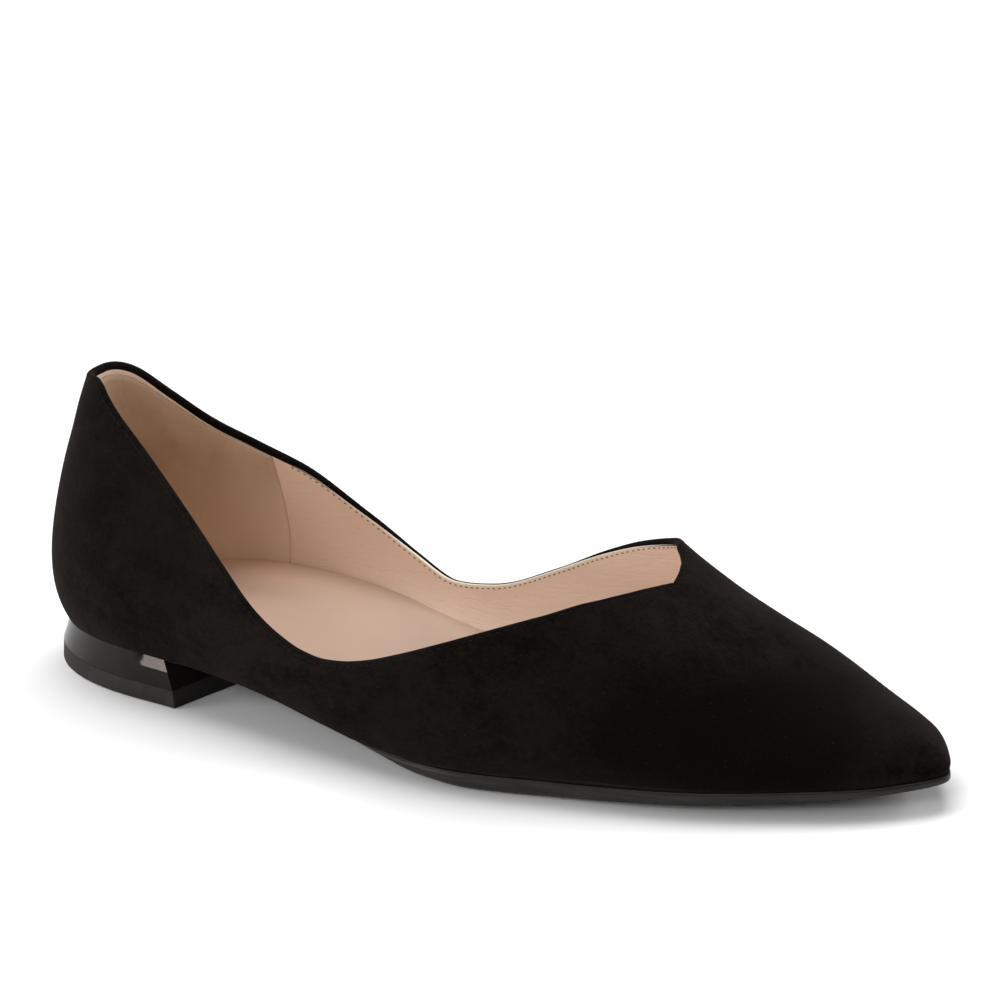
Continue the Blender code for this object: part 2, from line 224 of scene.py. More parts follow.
@dataclass(frozen=True)
class Last:
    """The form that the shoe is made on, in millimetres."""

    length: float = 250.0
    toe_swing: float = 3.1
    toe_swing_start: float = 0.55
    heel_round: float = 40.5
    heel_round_power: float = 2.1
    toe_round: float = 13.5
    toe_round_power: float = 2.0
    ridge_from_heel: float = 31.0
    ridge_from_toe: float = 9.4
    ridge_end_softness: float = 5.2
    swell_fade_power: int = 8
    throat_station: float = 0.728
    throat_blend: Span = (0.680, 0.700)
    nudge: float = 0.004
    plan_nudge: float = 0.001
    throat_room: float = 0.0001
    climb_range: Span = (0.032, 0.984)
    solve_steps: int = 36
    centre: Span = (124.19, -2.86)
    creases: tuple[Crease, ...] = (
        Crease(Side.LATERAL, (0.62, 0.30), (0.70, 0.80), 9.0, 0.30),
        Crease(Side.LATERAL, (0.52, 0.22), (0.60, 0.62), 8.0, -0.22),
        Crease(Side.MEDIAL, (0.63, 0.25), (0.68, 0.46), 8.0, 0.25),
        Crease(Side.MEDIAL, (0.668, 0.63), (0.715, 0.76), 8.0, -0.75),
        Crease(Side.MEDIAL, (0.53, 0.20), (0.60, 0.60), 8.0, -0.22),
        Crease(Side.LATERAL, (0.24, 0.08), (0.33, 0.16), 6.0, 0.25),
        Crease(Side.MEDIAL, (0.24, 0.08), (0.33, 0.16), 6.0, 0.25),
        Crease(Side.LATERAL, (0.03, 0.56), (0.10, 0.60), 5.0, 0.35),
        Crease(Side.MEDIAL, (0.03, 0.50), (0.10, 0.46), 5.0, 0.35),
    )

    @property
    def throat(self) -> float:
        """Return the turn of the throat on the lateral side."""
        return float(self.turn_at(self.throat_station))

    @staticmethod
    def station_at(turn: Array) -> Array:
        """Return the station of a turn: 0 at the heel, pi at the toe, medial turns negative."""
        return (1 - np.cos(turn)) / 2

    @staticmethod
    def turn_at(station: Array | float) -> Array:
        """Return the turn on the lateral side for a station."""
        return np.arccos(1 - 2 * station)

    def fold_depth(self, turn: Array) -> Array:
        """Return how far the suede is folded down inside the collar."""
        return FOLD_DEPTH.by_side(turn, self.station_at(turn))

    def outline(self, turn: Array) -> Array:
        """Return the feather edge from above: half widths times rounded ends, swung over at the toe."""
        station = self.station_at(turn)
        width = np.where(np.sin(turn) >= 0, -1.0, 1.0) * OUTLINE.by_side(turn, station)
        from_heel = np.clip(1 - station * self.length / self.heel_round, 0, 1)
        from_toe = np.clip(1 - (1 - station) * self.length / self.toe_round, 0, 1)
        heel = (1 - from_heel ** self.heel_round_power) ** (1 / self.heel_round_power)
        toe = (1 - from_toe ** self.toe_round_power) ** (1 / self.toe_round_power)
        swung = np.clip((station - self.toe_swing_start) / (1 - self.toe_swing_start), 0, 1)
        y = self.toe_swing * swung ** 2 + width * heel * toe
        return np.stack([station * self.length, y], -1)

    def outward(self, turn: Array) -> Array:
        """Return the feather edge's normal from above, its direction turned by a right angle."""
        small = self.plan_nudge
        along = unit(self.outline(turn + small) - self.outline(turn - small))
        return np.stack([along[..., 1], -along[..., 0]], -1)

    def ridge(self, turn: Array) -> Array:
        """Return the ridge's place over a turn, its ends held inside the heel and the toe."""
        x = self.station_at(turn) * self.length
        first, final = self.ridge_from_heel, self.length - self.ridge_from_toe
        soft = self.ridge_end_softness
        x = first + soft * np.logaddexp(0, (x - first) / soft)
        x = final - soft * np.logaddexp(0, (final - x) / soft)
        return np.stack([x, RIDGE_SIDE.read("offset", x / self.length)], -1)

    def feather(self, x: Array) -> Array:
        """Return the feather edge's height at a distance from the heel."""
        return FEATHER.read("height", np.clip(x / self.length, 0, 1))

    def point(self, turn: Array, climb: Array) -> Array:
        """Return points of the last.

        A rib runs from the feather edge to the ridge as a superellipse: its height grows with a power of
        the sine of the climb and its reach shrinks with a power of the cosine. It also swells outwards by
        level times exp(1 - level), which fades to nothing on the ridge.

        Args:
            turn: angle round the last.
            climb: 0 at the feather edge, 1 on the ridge.

        Returns:
            An array of points, in millimetres.
        """
        turn, climb = np.broadcast_arrays(np.asarray(turn, float), np.asarray(climb, float))
        station = self.station_at(turn)
        edge, ridge = self.outline(turn), self.ridge(turn)
        rise = np.sin(math.pi / 2 * climb).clip(0) ** (2 / SECTION.read("rise_power", station))
        reach = np.cos(math.pi / 2 * climb).clip(0) ** (2 / SECTION.read("fall_power", station))
        top = RIDGE.read("height", ridge[..., 0] / self.length)
        level = rise * (top - self.feather(ridge[..., 0])) / SECTION.read("swell_height", station)
        fade = 1 - np.clip(climb, 0, 1) ** self.swell_fade_power
        swell = SECTION.read("swell", station) * level * np.exp(1 - level) * fade
        plan = ridge + (edge - ridge) * reach[..., None] + self.outward(turn) * swell[..., None]
        low = self.feather(plan[..., 0])
        z = low + rise * (RIDGE.read("height", plan[..., 0] / self.length) - low)
        return np.concatenate([plan, z[..., None]], -1)

    def slopes(self, turn: Array, climb: Array) -> tuple[Array, Array]:
        """Return how a point moves with its turn and with its climb, by central differences."""
        h = self.nudge
        climb = np.clip(climb, *self.climb_range)
        along = (self.point(turn + h, climb) - self.point(turn - h, climb)) / (2 * h)
        up = (self.point(turn, climb + h) - self.point(turn, climb - h)) / (2 * h)
        return along, up

    def normal(self, turn: Array, climb: Array) -> Array:
        """Return outward normals, the cross product of the two slopes."""
        return unit(np.cross(*self.slopes(turn, climb)))

    def spot(self, side: Side, place: Span) -> Array:
        """Return the point at a station and climb on one side."""
        station, climb = place
        return self.point(side.value * self.turn_at(station), climb)

    def relief(self, points: Array) -> Array:
        """Return how far the creases push points outwards.

        Each crease is a bell across the line between its two ends, and fades at those ends.
        """
        push = np.zeros(points.shape[:-1])
        for crease in self.creases:
            start, end = self.spot(crease.side, crease.start), self.spot(crease.side, crease.end)
            line = end - start
            along = ((points - start) @ line) / (line @ line)
            foot = start + np.clip(along, 0, 1)[..., None] * line
            away = np.linalg.norm(points - foot, axis=-1)
            push -= crease.depth * np.exp(-(away / crease.width) ** 2)
        return push

    def wall(self, turn: Array, climb: Array, depth: Array | float) -> Array:
        """Return points of the wall at a depth under the last's surface, with the creases in it."""
        turn, climb = np.broadcast_arrays(np.asarray(turn, float), np.asarray(climb, float))
        points = self.point(turn, climb)
        move = self.relief(points) - depth
        return points + self.normal(turn, climb) * move[..., None]

    def climb_to(self, turn: Array, height: Array) -> Array:
        """Return the climb at which a rib reaches a height over the floor, by halving."""
        low, high = np.zeros_like(turn), np.ones_like(turn)
        for _ in range(self.solve_steps):
            middle = (low + high) / 2
            below = self.point(turn, middle)[..., 2] < height
            low, high = np.where(below, middle, low), np.where(below, high, middle)
        return (low + high) / 2

    def collar_climb(self, turn: Array) -> Array:
        """Return the collar's climb, or 1 in front of the throat where the vamp is closed."""
        station = np.minimum(self.station_at(turn), self.throat_station)
        heights = COLLAR_LATERAL.read("height", station), COLLAR_MEDIAL.read("height", station)
        climb = self.climb_to(turn, np.where(np.sin(turn) >= 0, *heights))
        climb += (THROAT.by_side(turn, station) - climb) * soft_step(*self.throat_blend, station)
        return np.where(np.abs(turn) < self.throat - self.throat_room, climb, 1.0)

    def moved_out(self, turn: Array, points: Array, distance: Array) -> Array:
        """Return points moved away from the ridge, seen from above."""
        away = unit(points[..., :2] - self.ridge(turn))
        plan = points[..., :2] + away * np.broadcast_to(distance, turn.shape)[..., None]
        return np.concatenate([plan, points[..., 2:]], -1)

    def in_frame(self, points: Array) -> Array:
        """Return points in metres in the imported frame."""
        return (points - np.array([self.centre[0], self.centre[1], 0.0])) * MM


@dataclass(frozen=True)
class Collar:
    """The collar's edge as a chain of turns from the throat round the medial side, the heel and back."""

    last: Last
    steps: int = 190
    even_share: float = 0.3
    smooth_steps: int = 15
    fade_turn: float = 0.16

    @property
    def turn(self) -> Array:
        """Return the turns of the chain, closer together towards the throat."""
        share = np.linspace(-1.0, 1.0, 2 * self.steps + 1)
        curved = np.sin(math.pi / 2 * share)
        return self.last.throat * (self.even_share * share + (1 - self.even_share) * curved)

    def tangent(self, edge: Array) -> Array:
        """Return an edge's direction, averaged over neighbours so that ribs square to it don't cross."""
        step = np.diff(edge, axis=0, append=2 * edge[-1:] - edge[-2:-1])
        window = np.hanning(self.smooth_steps + 2)[1:-1]
        padded = np.pad(unit(step), ((self.smooth_steps // 2,) * 2, (0, 0)), mode="edge")
        return unit(np.stack([np.convolve(padded[:, k], window, "valid") for k in range(3)], -1))

    def into_wall(self, turn: Array, climb: Array, tangent: Array) -> tuple[Array, Array]:
        """Return the change of turn and climb for one millimetre into the wall, square to an edge.

        The direction is the normal crossed with the edge's tangent, resolved on the two slopes.
        """
        along, up = self.last.slopes(turn, climb)
        down = unit(np.cross(unit(np.cross(along, up)), tangent))
        down *= -np.sign((down * up).sum(-1, keepdims=True))
        a, b, c = (along * along).sum(-1), (along * up).sum(-1), (up * up).sum(-1)
        f, g = (down * along).sum(-1), (down * up).sum(-1)
        det = a * c - b * b
        return (c * f - b * g) / det, (a * g - b * f) / det

    def chain(self) -> tuple[Array, Array, Array, Array]:
        """Return turn, climb and the two changes per millimetre into the wall along the chain."""
        return self.steps_from(self.turn)

    def steps_from(self, turn: Array) -> tuple[Array, Array, Array, Array]:
        """Return turns, the collar's climbs there and the two changes per millimetre into the wall."""
        climb = self.last.collar_climb(turn)
        tangent = self.tangent(self.last.point(turn, climb))
        return turn, climb, *self.into_wall(turn, climb, tangent)

    def loop(self, corner_reach: float) -> tuple[Array, Array, Array, Array]:
        """Return the chain with the corner of the throat added, which runs forward along the ridge.

        Args:
            corner_reach: how much further the corner reaches than the sides, as in a mitre.

        Returns:
            Turn, climb and the changes of both per millimetre into the wall.
        """
        throat = self.last.throat
        pace = np.linalg.norm(self.last.slopes(np.array(throat), np.array(1.0))[0])
        corner = (throat, 1.0, corner_reach / pace, 0.0)
        return tuple(np.append(a, b) for a, b in zip(self.chain(), corner))

    def edge_points(self) -> Array:
        """Return the points of the collar's edge."""
        turn = self.turn
        return self.last.point(turn, self.last.collar_climb(turn))


def distance_to(points: Array, samples: Array) -> Array:
    """Return each point's distance to the nearest sample, worked out row by row of the grid."""
    rows = np.moveaxis(points, 1, 0)
    return np.stack([np.linalg.norm(row[:, None] - samples, axis=-1).min(1) for row in rows], 1)


def grid_faces(columns: int, rows: int, closed: bool = False, offset: int = 0) -> Array:
    """Return the quads of a grid of points, column by column.

    Args:
        columns: number of columns.
        rows: number of rows in each column.
        closed: whether the last column joins the first.
        offset: index of the grid's first point.

    Returns:
        An array of four indices a face.
    """
    i = np.arange(columns if closed else columns - 1)[:, None]
    j = np.arange(rows - 1)[None]
    after = (i + 1) % columns
    corners = (i * rows + j, after * rows + j, after * rows + j + 1, i * rows + j + 1)
    return np.stack(corners, -1).reshape(-1, 4) + offset


@dataclass
class Piece:
    """A mesh object of the shoe, made in place in the frame and carried by its one body."""

    name: str
    last: Last
    finish: "Finish"
    slot: str
    replaces: tuple[str, ...] = ()
    weld: float = 0.01
    sharp_degrees: float = 40.0
    turn_out: bool = True

    def make(
        self, points: Array, faces: Array, marks: Mapping[str, Array] | None = None,
    ) -> bpy.types.Object:
        """Make the mesh, weld its seams, dress it and let it ride on the shoe.

        Args:
            points: points in millimetres on the last.
            faces: indices of each face's points.
            marks: values at the points that the material reads.

        Returns:
            The mesh object.
        """
        mesh = bpy.data.meshes.new(self.name)
        mesh.from_pydata(self.last.in_frame(points.reshape(-1, 3)).tolist(), [], faces.tolist())
        for mark, values in (marks or {}).items():
            layer = mesh.attributes.new(mark, "FLOAT", "POINT")
            layer.data.foreach_set("value", values.reshape(-1).astype(np.float32))
        bm = bmesh.new()
        bm.from_mesh(mesh)
        bmesh.ops.remove_doubles(bm, verts=bm.verts, dist=self.weld * MM)
        bmesh.ops.dissolve_degenerate(bm, edges=bm.edges, dist=self.weld * MM)
        if self.turn_out:
            bmesh.ops.recalc_face_normals(bm, faces=bm.faces)
        bm.to_mesh(mesh)
        bm.free()
        mesh.shade_smooth()
        mesh.set_sharp_from_angle(angle=math.radians(self.sharp_degrees))
        mesh.materials.append(self.finish.material())
        made = bpy.data.objects.new(self.name, mesh)
        bpy.context.scene.collection.objects.link(made)
        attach(made, "root")
        if self.replaces:
            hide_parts(*self.replaces)
        LOG.info("%s: %d faces", self.name, len(mesh.polygons))
        return made

    def make_grids(
        self, grids: Sequence[Array], marks: Mapping[str, Sequence[Array]] | None = None,
    ) -> bpy.types.Object:
        """Make one mesh from several open grids that meet at their borders, with marks grid by grid."""
        faces, count = [], 0
        for grid in grids:
            faces.append(grid_faces(*grid.shape[:2], offset=count))
            count += grid.shape[0] * grid.shape[1]
        points = np.concatenate([grid.reshape(-1, 3) for grid in grids])
        joined = {mark: np.concatenate([v.reshape(-1) for v in values])
                  for mark, values in (marks or {}).items()}
        return self.make(points, np.concatenate(faces), joined)


def thicken(made: bpy.types.Object, thickness: float) -> None:
    """Give a sheet its thickness in millimetres, behind its faces."""
    wall = made.modifiers.new("thickness", "SOLIDIFY")
    wall.thickness = thickness * MM
    wall.offset = -1.0


def soften(made: bpy.types.Object, width: float, degrees: float = 35.0, segments: int = 3) -> None:
    """Round the sharp edges of a solid by a width in millimetres."""
    bevel = made.modifiers.new("soft_edges", "BEVEL")
    bevel.width = width * MM
    bevel.segments = segments
    bevel.limit_method = "ANGLE"
    bevel.angle_limit = math.radians(degrees)
    bevel.harden_normals = True


class Signal:
    """A value in a material, with arithmetic that adds Math nodes."""

    def __init__(self, recipe: "Recipe", socket: bpy.types.NodeSocket) -> None:
        """Keep the material and the socket that gives the value."""
        self.recipe = recipe
        self.socket = socket

    def _math(self, operation: str, *values: Any) -> "Signal":
        """Return a Math node's value."""
        settings = {"operation": operation}
        return self.recipe.node("ShaderNodeMath", settings, dict(enumerate(values)), "Value")

    def __add__(self, other: Any) -> "Signal":
        """Return the sum."""
        return self._math("ADD", self, other)

    __radd__ = __add__

    def __sub__(self, other: Any) -> "Signal":
        """Return the difference."""
        return self._math("SUBTRACT", self, other)

    def __rsub__(self, other: Any) -> "Signal":
        """Return the difference the other way round."""
        return self._math("SUBTRACT", other, self)

    def __mul__(self, other: Any) -> "Signal":
        """Return the product."""
        return self._math("MULTIPLY", self, other)

    __rmul__ = __mul__

    def __truediv__(self, other: Any) -> "Signal":
        """Return the quotient."""
        return self._math("DIVIDE", self, other)

    def size(self) -> "Signal":
        """Return the value without its sign."""
        return self._math("ABSOLUTE", self)

    def at_most(self, limit: float) -> "Signal":
        """Return the value, or the limit where that is less."""
        return self._math("MINIMUM", self, limit)

    def step(self, low: float, high: float) -> "Signal":
        """Return 0 at low and 1 at high, with a smooth rise between them."""
        settings = {"interpolation_type": "SMOOTHSTEP"}
        inputs = {"Value": self, "From Min": low, "From Max": high}
        return self.recipe.node("ShaderNodeMapRange", settings, inputs, "Result")

    def bell(self, middle: float, width: float) -> "Signal":
        """Return 1 at the middle, falling smoothly to 0 at a width on either side."""
        return 1 - (self - middle).size().step(0.0, width)


class Recipe:
    """A material in the making: a Principled shader and the nodes that feed it."""

    # Sockets of a colour Mix node, which shares its names with other kinds of mix
    MIX_FIRST, MIX_SECOND, MIX_RESULT = 6, 7, 2
    NOISE_ROUGHNESS = 0.55

    def __init__(self, name: str) -> None:
        """Start an empty material."""
        self.material = bpy.data.materials.new(name)
        self.material.use_nodes = True
        self.tree = self.material.node_tree
        self.shader = self.tree.nodes["Principled BSDF"]

    def node(
        self, kind: str, settings: Mapping[str, Any], inputs: Mapping[Any, Any], output: str | int,
    ) -> Signal:
        """Add a node.

        Args:
            kind: the node's type.
            settings: its own settings, set first.
            inputs: values or signals for its sockets, by name or number.
            output: name or number of the output that is wanted.

        Returns:
            That output as a signal.
        """
        made = self.tree.nodes.new(kind)
        for key, value in settings.items():
            setattr(made, key, value)
        for key, value in inputs.items():
            self._feed(made.inputs[key], value)
        return Signal(self, made.outputs[output])

    def _feed(self, socket: bpy.types.NodeSocket, value: Any) -> None:
        """Link a signal to a socket, or set its value."""
        if isinstance(value, Signal):
            self.tree.links.new(value.socket, socket)
        else:
            socket.default_value = value

    def set(self, **values: Any) -> None:
        """Set or feed the shader's sockets, with _ in a name for each space."""
        for key, value in values.items():
            if isinstance(value, tuple):
                value = (*value, 1.0)
            self._feed(self.shader.inputs[key.replace("_", " ")], value)

    def place(self, stretch: Axes = EVEN) -> Signal:
        """Return the place on the piece, stretched along each axis."""
        place = self.node("ShaderNodeTexCoord", {}, {}, "Object")
        return self.node("ShaderNodeMapping", {}, {"Vector": place, "Scale": stretch}, "Vector")

    def axis(self, name: str) -> Signal:
        """Return one coordinate of the place, in millimetres."""
        return self.node("ShaderNodeSeparateXYZ", {}, {0: self.place((1 / MM, 1 / MM, 1 / MM))}, name)

    def mark(self, name: str) -> Signal:
        """Return a value that the mesh holds at its points."""
        return self.node("ShaderNodeAttribute", {"attribute_name": name}, {}, "Fac")

    def noise(self, size: float, detail: float = 3.0, stretch: Axes = EVEN, warp: float = 0.0) -> Signal:
        """Return noise from 0 to 1 with patches of a size in millimetres."""
        inputs = {"Vector": self.place(stretch), "Scale": 1 / (size * MM), "Detail": detail,
                  "Roughness": self.NOISE_ROUGHNESS, "Distortion": warp}
        return self.node("ShaderNodeTexNoise", {}, inputs, "Fac")

    def cells(self, size: float) -> Signal:
        """Return the distance to the middle of each cell of a size in millimetres."""
        inputs = {"Vector": self.place(), "Scale": 1 / (size * MM)}
        return self.node("ShaderNodeTexVoronoi", {"feature": "F1"}, inputs, "Distance")

    def blend(self, share: Any, first: Any, second: Any) -> Signal:
        """Return a colour between two colours."""
        colours = [(*c, 1.0) if isinstance(c, tuple) else c for c in (first, second)]
        inputs = {0: share, self.MIX_FIRST: colours[0], self.MIX_SECOND: colours[1]}
        return self.node("ShaderNodeMix", {"data_type": "RGBA"}, inputs, self.MIX_RESULT)

    def bump(self, height: Signal, depth: float, strength: float = 1.0) -> Signal:
        """Return a bumped normal for a height from 0 to 1 and its depth in millimetres."""
        inputs = {"Height": height, "Distance": depth * MM, "Strength": strength}
        return self.node("ShaderNodeBump", {}, inputs, "Normal")


class Finish:
    """A finish that a piece is dressed in."""

    def material(self) -> bpy.types.Material:
        """Return a new material of this finish."""
        raise NotImplementedError


@dataclass(frozen=True)
class Suede(Finish):
    """Black suede: a fine nap brushed into lighter and darker patches, some of them painted shade and
    light, paler where it is seen along.
    """

    dark: Colour = (0.0022, 0.0016, 0.0014)
    lit: Colour = (0.0094, 0.0068, 0.0058)
    fibre: Colour = (0.025, 0.0195, 0.0170)
    sheen: Colour = (0.86, 0.74, 0.68)
    nap: float = 0.42
    stitch_row: float = 1.2
    trough_width: float = 0.55
    seam_y: float = 2.86
    seam_width: Span = (0.5, 0.1)
    seam_x: Span = (-100.0, -112.0)

    def material(self) -> bpy.types.Material:
        """Return patches, nap and the marked painted shade and light in the colour, and nap, stitch trough
        and back seam in the bump.
        """
        r = Recipe("black_suede")
        brushed = r.noise(22.0, detail=4.0, stretch=(0.7, 1.0, 1.3), warp=0.8)
        blotch = r.noise(6.0, stretch=(0.8, 1.0, 1.2), warp=0.5)
        nap = r.noise(self.nap, detail=2.0)
        strands = r.noise(self.nap * 1.8, detail=2.0, stretch=(0.45, 1.0, 0.8))
        tone = (brushed * 1.3 + blotch * 0.9 + nap * 0.9 + strands * 0.8 - 1.45).step(0.0, 1.0)
        # Marked patches darken or lighten the tone: partly the nap's own tone, partly painted shade on the
        # low front of the vamp and painted light on its top and low on the heel.
        tone = tone * (1 + r.mark("shade"))
        specks = r.noise(0.55, detail=1.0).step(0.70, 0.80)
        colour = r.blend(tone, self.dark, self.lit)
        colour = r.blend(specks * 0.55, colour, self.fibre)
        trough = r.mark("edge").bell(self.stitch_row, self.trough_width)
        seam = (r.axis("Y") - self.seam_y).size().step(*self.seam_width) * r.axis("X").step(*self.seam_x)
        colour = r.blend(seam * 0.6, colour, self.dark)
        height = nap * 0.5 + strands * 0.5 + blotch * 0.8 - trough - seam * 1.4
        r.set(Base_Color=colour, Roughness=0.88 + nap * 0.12, Normal=r.bump(height, 0.22, 0.75))
        r.set(Sheen_Weight=0.030, Sheen_Roughness=0.4, Sheen_Tint=self.sheen, Specular_IOR_Level=0.035)
        return r.material


@dataclass(frozen=True)
class LiningLeather(Finish):
    """Rose-beige lining leather with fine pores and wrinkles, and a pale cut edge along the collar."""

    base: Colour = (0.77, 0.577, 0.456)
    warm: Colour = (0.788, 0.605, 0.487)
    cut_edge: Colour = (0.80, 0.70, 0.56)
    pore: Colour = (0.42, 0.25, 0.18)
    edge_width: float = 0.22
    edge_blur: Span = (0.25, -0.15)
    edge_groove: float = 0.3

    def material(self) -> bpy.types.Material:
        """Return pores, long wrinkles and clouds, with the cut edge where the mesh marks it."""
        r = Recipe("lining_leather")
        edge = r.mark("edge")
        clouds = r.noise(30.0)
        pores = r.cells(0.75)
        wrinkles = r.noise(3.2, stretch=(0.22, 1.0, 1.0), warp=0.5).bell(0.5, 0.06)
        grain = r.noise(0.6, detail=2.0)
        colour = r.blend(clouds.step(0.3, 0.7), self.base, self.warm)
        colour = r.blend(r.noise(0.9, detail=2.0).step(0.55, 0.8) * 0.10, colour, self.pore)
        outer, inner = (self.edge_width + blur for blur in self.edge_blur)
        colour = r.blend(edge.step(outer, inner), colour, self.cut_edge)
        groove = edge.bell(self.edge_width, self.edge_groove)
        height = pores * 0.35 + grain * 0.3 - wrinkles * 0.8 - groove * 0.7
        r.set(Base_Color=colour, Roughness=0.50 + grain * 0.16, Normal=r.bump(height, 0.09, 0.6))
        r.set(Specular_IOR_Level=0.35, Sheen_Weight=0.04)
        return r.material


@dataclass(frozen=True)
class CounterLeather(Finish):
    """The heel's lining: matt tan leather, flesh side out, with a short nap that grips the heel and painted
    light at its foot.
    """

    base: Colour = (0.450, 0.311, 0.206)
    rubbed: Colour = (0.560, 0.415, 0.297)
    # Painted light: the paler colour and the heights over which it lifts the shade low in the heel.
    pale: Colour = (0.780, 0.600, 0.455)
    foot: Span = (42.0, 16.0)

    def material(self) -> bpy.types.Material:
        """Return a short nap with rubbed, paler clouds, and painted light that makes it palest at its foot.
        """
        r = Recipe("counter_leather")
        clouds = r.noise(14.0, detail=4.0, stretch=(1.0, 1.0, 0.7), warp=0.4)
        nap = r.noise(0.45)
        colour = r.blend((clouds * 0.8 + nap * 0.4).step(0.35, 0.85), self.base, self.rubbed)
        # Painted light: paler towards the foot, where the heel's walls shade it.
        colour = r.blend(r.axis("Z").step(*self.foot) * 0.9, colour, self.pale)
        r.set(Base_Color=colour, Roughness=0.86 + nap * 0.12, Normal=r.bump(nap + clouds * 0.5, 0.12, 0.6))
        r.set(Sheen_Weight=0.10, Sheen_Roughness=0.5, Specular_IOR_Level=0.18)
        return r.material


@dataclass(frozen=True)
class InsoleLeather(Finish):
    """The insole's cover: smooth rose-beige leather with a soft shine, and painted light along its medial
    rim and back.
    """

    base: Colour = (0.415, 0.283, 0.212)
    worn: Colour = (0.445, 0.313, 0.238)
    # Painted light: a paler colour and the places along the medial rim and at the back of the heel where it
    # lifts the shade.
    pale: Colour = (0.80, 0.575, 0.445)
    pore: Colour = (0.45, 0.28, 0.20)
    painted_light_x: Span = (-40.0, -88.0)
    painted_light_y: Span = (11.0, 27.0)
    painted_light_back: Span = (-92.0, -118.0)

    def material(self) -> bpy.types.Material:
        """Return fine pores under broad clouds, with painted light along the medial rim and the back of the
        heel.
        """
        r = Recipe("insole_leather")
        clouds = r.noise(34.0, stretch=(0.6, 1.0, 1.0))
        pores = r.cells(0.65)
        grain = r.noise(0.5, detail=2.0)
        colour = r.blend(clouds.step(0.3, 0.7), self.base, self.worn)
        colour = r.blend(r.noise(1.1, detail=2.0).step(0.58, 0.8) * 0.08, colour, self.pore)
        # Painted light: paler along the medial rim and at the back of the heel, where the walls shade the
        # insole.
        side = r.axis("Y").step(*self.painted_light_y) * r.axis("X").step(*self.painted_light_x)
        back = r.axis("X").step(*self.painted_light_back) * 0.8
        colour = r.blend((side + back).at_most(1.0), colour, self.pale)
        height = pores * 0.4 + grain * 0.3 + clouds * 0.5
        r.set(Base_Color=colour, Roughness=0.44 + grain * 0.14, Normal=r.bump(height, 0.07, 0.5))
        r.set(Specular_IOR_Level=0.4)
        return r.material


@dataclass(frozen=True)
class Thread(Finish):
    """Sewing thread with a fine twist."""

    name: str
    colour: Colour
    light: Colour
    shine: float = 0.2

    def material(self) -> bpy.types.Material:
        """Return a twisted thread: fine slanted strands, lighter on their backs."""
        r = Recipe(self.name)
        strands = r.noise(0.22, detail=1.0, stretch=(1.0, 0.6, 1.0), warp=0.3)
        r.set(Base_Color=r.blend(strands.step(0.35, 0.65), self.colour, self.light))
        r.set(Roughness=0.6 + strands * 0.1, Normal=r.bump(strands, 0.06, 0.6))
        r.set(Specular_IOR_Level=self.shine)
        return r.material


@dataclass(frozen=True)
class SoleBoard(Finish):
    """The dark sole: a satin edge with faint lines along it and a matt, slightly scuffed underside."""

    edge: Colour = (0.012, 0.0108, 0.0100)
    tread: Colour = (0.014, 0.0130, 0.0125)
    scuff: Colour = (0.045, 0.0415, 0.039)
    glint: Colour = (1.0, 0.92, 0.88)

    def material(self) -> bpy.types.Material:
        """Return edge lines in the roughness and bump, and scuffs where the mesh marks the underside."""
        r = Recipe("dark_sole")
        under = r.mark("under")
        lines = r.noise(0.9, stretch=(0.06, 0.06, 1.6))
        grain = r.noise(0.35, detail=2.0)
        scuffs = r.noise(7.0, detail=4.0, stretch=(0.35, 1.2, 1.0), warp=0.7).step(0.60, 0.74)
        scuffs = scuffs * under.step(0.6, 1.0)
        edge = r.blend(lines.step(0.3, 0.7) * 0.4, self.edge, self.scuff)
        colour = r.blend(scuffs * 0.35, r.blend(under, edge, self.tread), self.scuff)
        height = lines * 0.35 * (1 - under) + grain * (0.2 + under * 0.8)
        rough = 0.34 + lines * 0.14 + under * 0.28 + scuffs * 0.08
        r.set(Base_Color=colour, Roughness=rough, Normal=r.bump(height, 0.06, 0.5))
        r.set(Specular_IOR_Level=0.18, Specular_Tint=self.glint)
        return r.material


@dataclass(frozen=True)
class GlossHeel(Finish):
    """The heel block's black lacquer, faintly mottled and thinly coated, leaning in by the breast."""

    base: Colour = (0.0060, 0.0050, 0.0046)
    bloom: Colour = (0.0120, 0.0102, 0.0096)
    glint: Colour = (1.0, 0.86, 0.78)
    lean_x: Span = (-84.0, -79.0)
    lean_z: Span = (11.6, 8.6)
    lean_depth: float = 0.9

    def material(self) -> bpy.types.Material:
        """Return lacquer with a slow wave in its surface and faint handling marks in its gloss."""
        r = Recipe("gloss_heel")
        wave = r.noise(9.0, detail=2.0)
        marks = r.noise(2.5, detail=4.0, stretch=(0.5, 0.5, 1.0), warp=0.6)
        colour = r.blend(wave.step(0.3, 0.75) * 0.6, self.base, self.bloom)
        top, low = self.lean_z
        lean = (((top - r.axis("Z")) / (top - low)).at_most(1.0) - 1) * r.axis("X").step(*self.lean_x)
        normal = r.bump(lean + wave * 0.02, self.lean_depth)
        r.set(Base_Color=colour, Roughness=0.14 + marks * 0.08, Normal=normal)
        r.set(Coat_Weight=0.01, Coat_Roughness=0.05, Coat_Normal=normal)
        r.set(Specular_IOR_Level=0.08, Specular_Tint=self.glint)
        return r.material


@dataclass(frozen=True)
class LiftRubber(Finish):
    """The heel lift's black rubber, matt and finely grained."""

    base: Colour = (0.0075, 0.0070, 0.0070)
    chalk: Colour = (0.020, 0.019, 0.0185)
    glint: Colour = (1.0, 0.90, 0.84)

    def material(self) -> bpy.types.Material:
        """Return a fine moulded grain with a faint chalky bloom."""
        r = Recipe("lift_rubber")
        grain = r.noise(0.3, detail=2.0)
        bloom = r.noise(5.0, detail=4.0, warp=0.5)
        colour = r.blend((bloom * 0.8 + grain * 0.4).step(0.45, 0.95), self.base, self.chalk)
        r.set(Base_Color=colour, Roughness=0.62 + grain * 0.2, Normal=r.bump(grain, 0.08, 0.6))
        r.set(Specular_IOR_Level=0.29, Specular_Tint=self.glint)
        return r.material


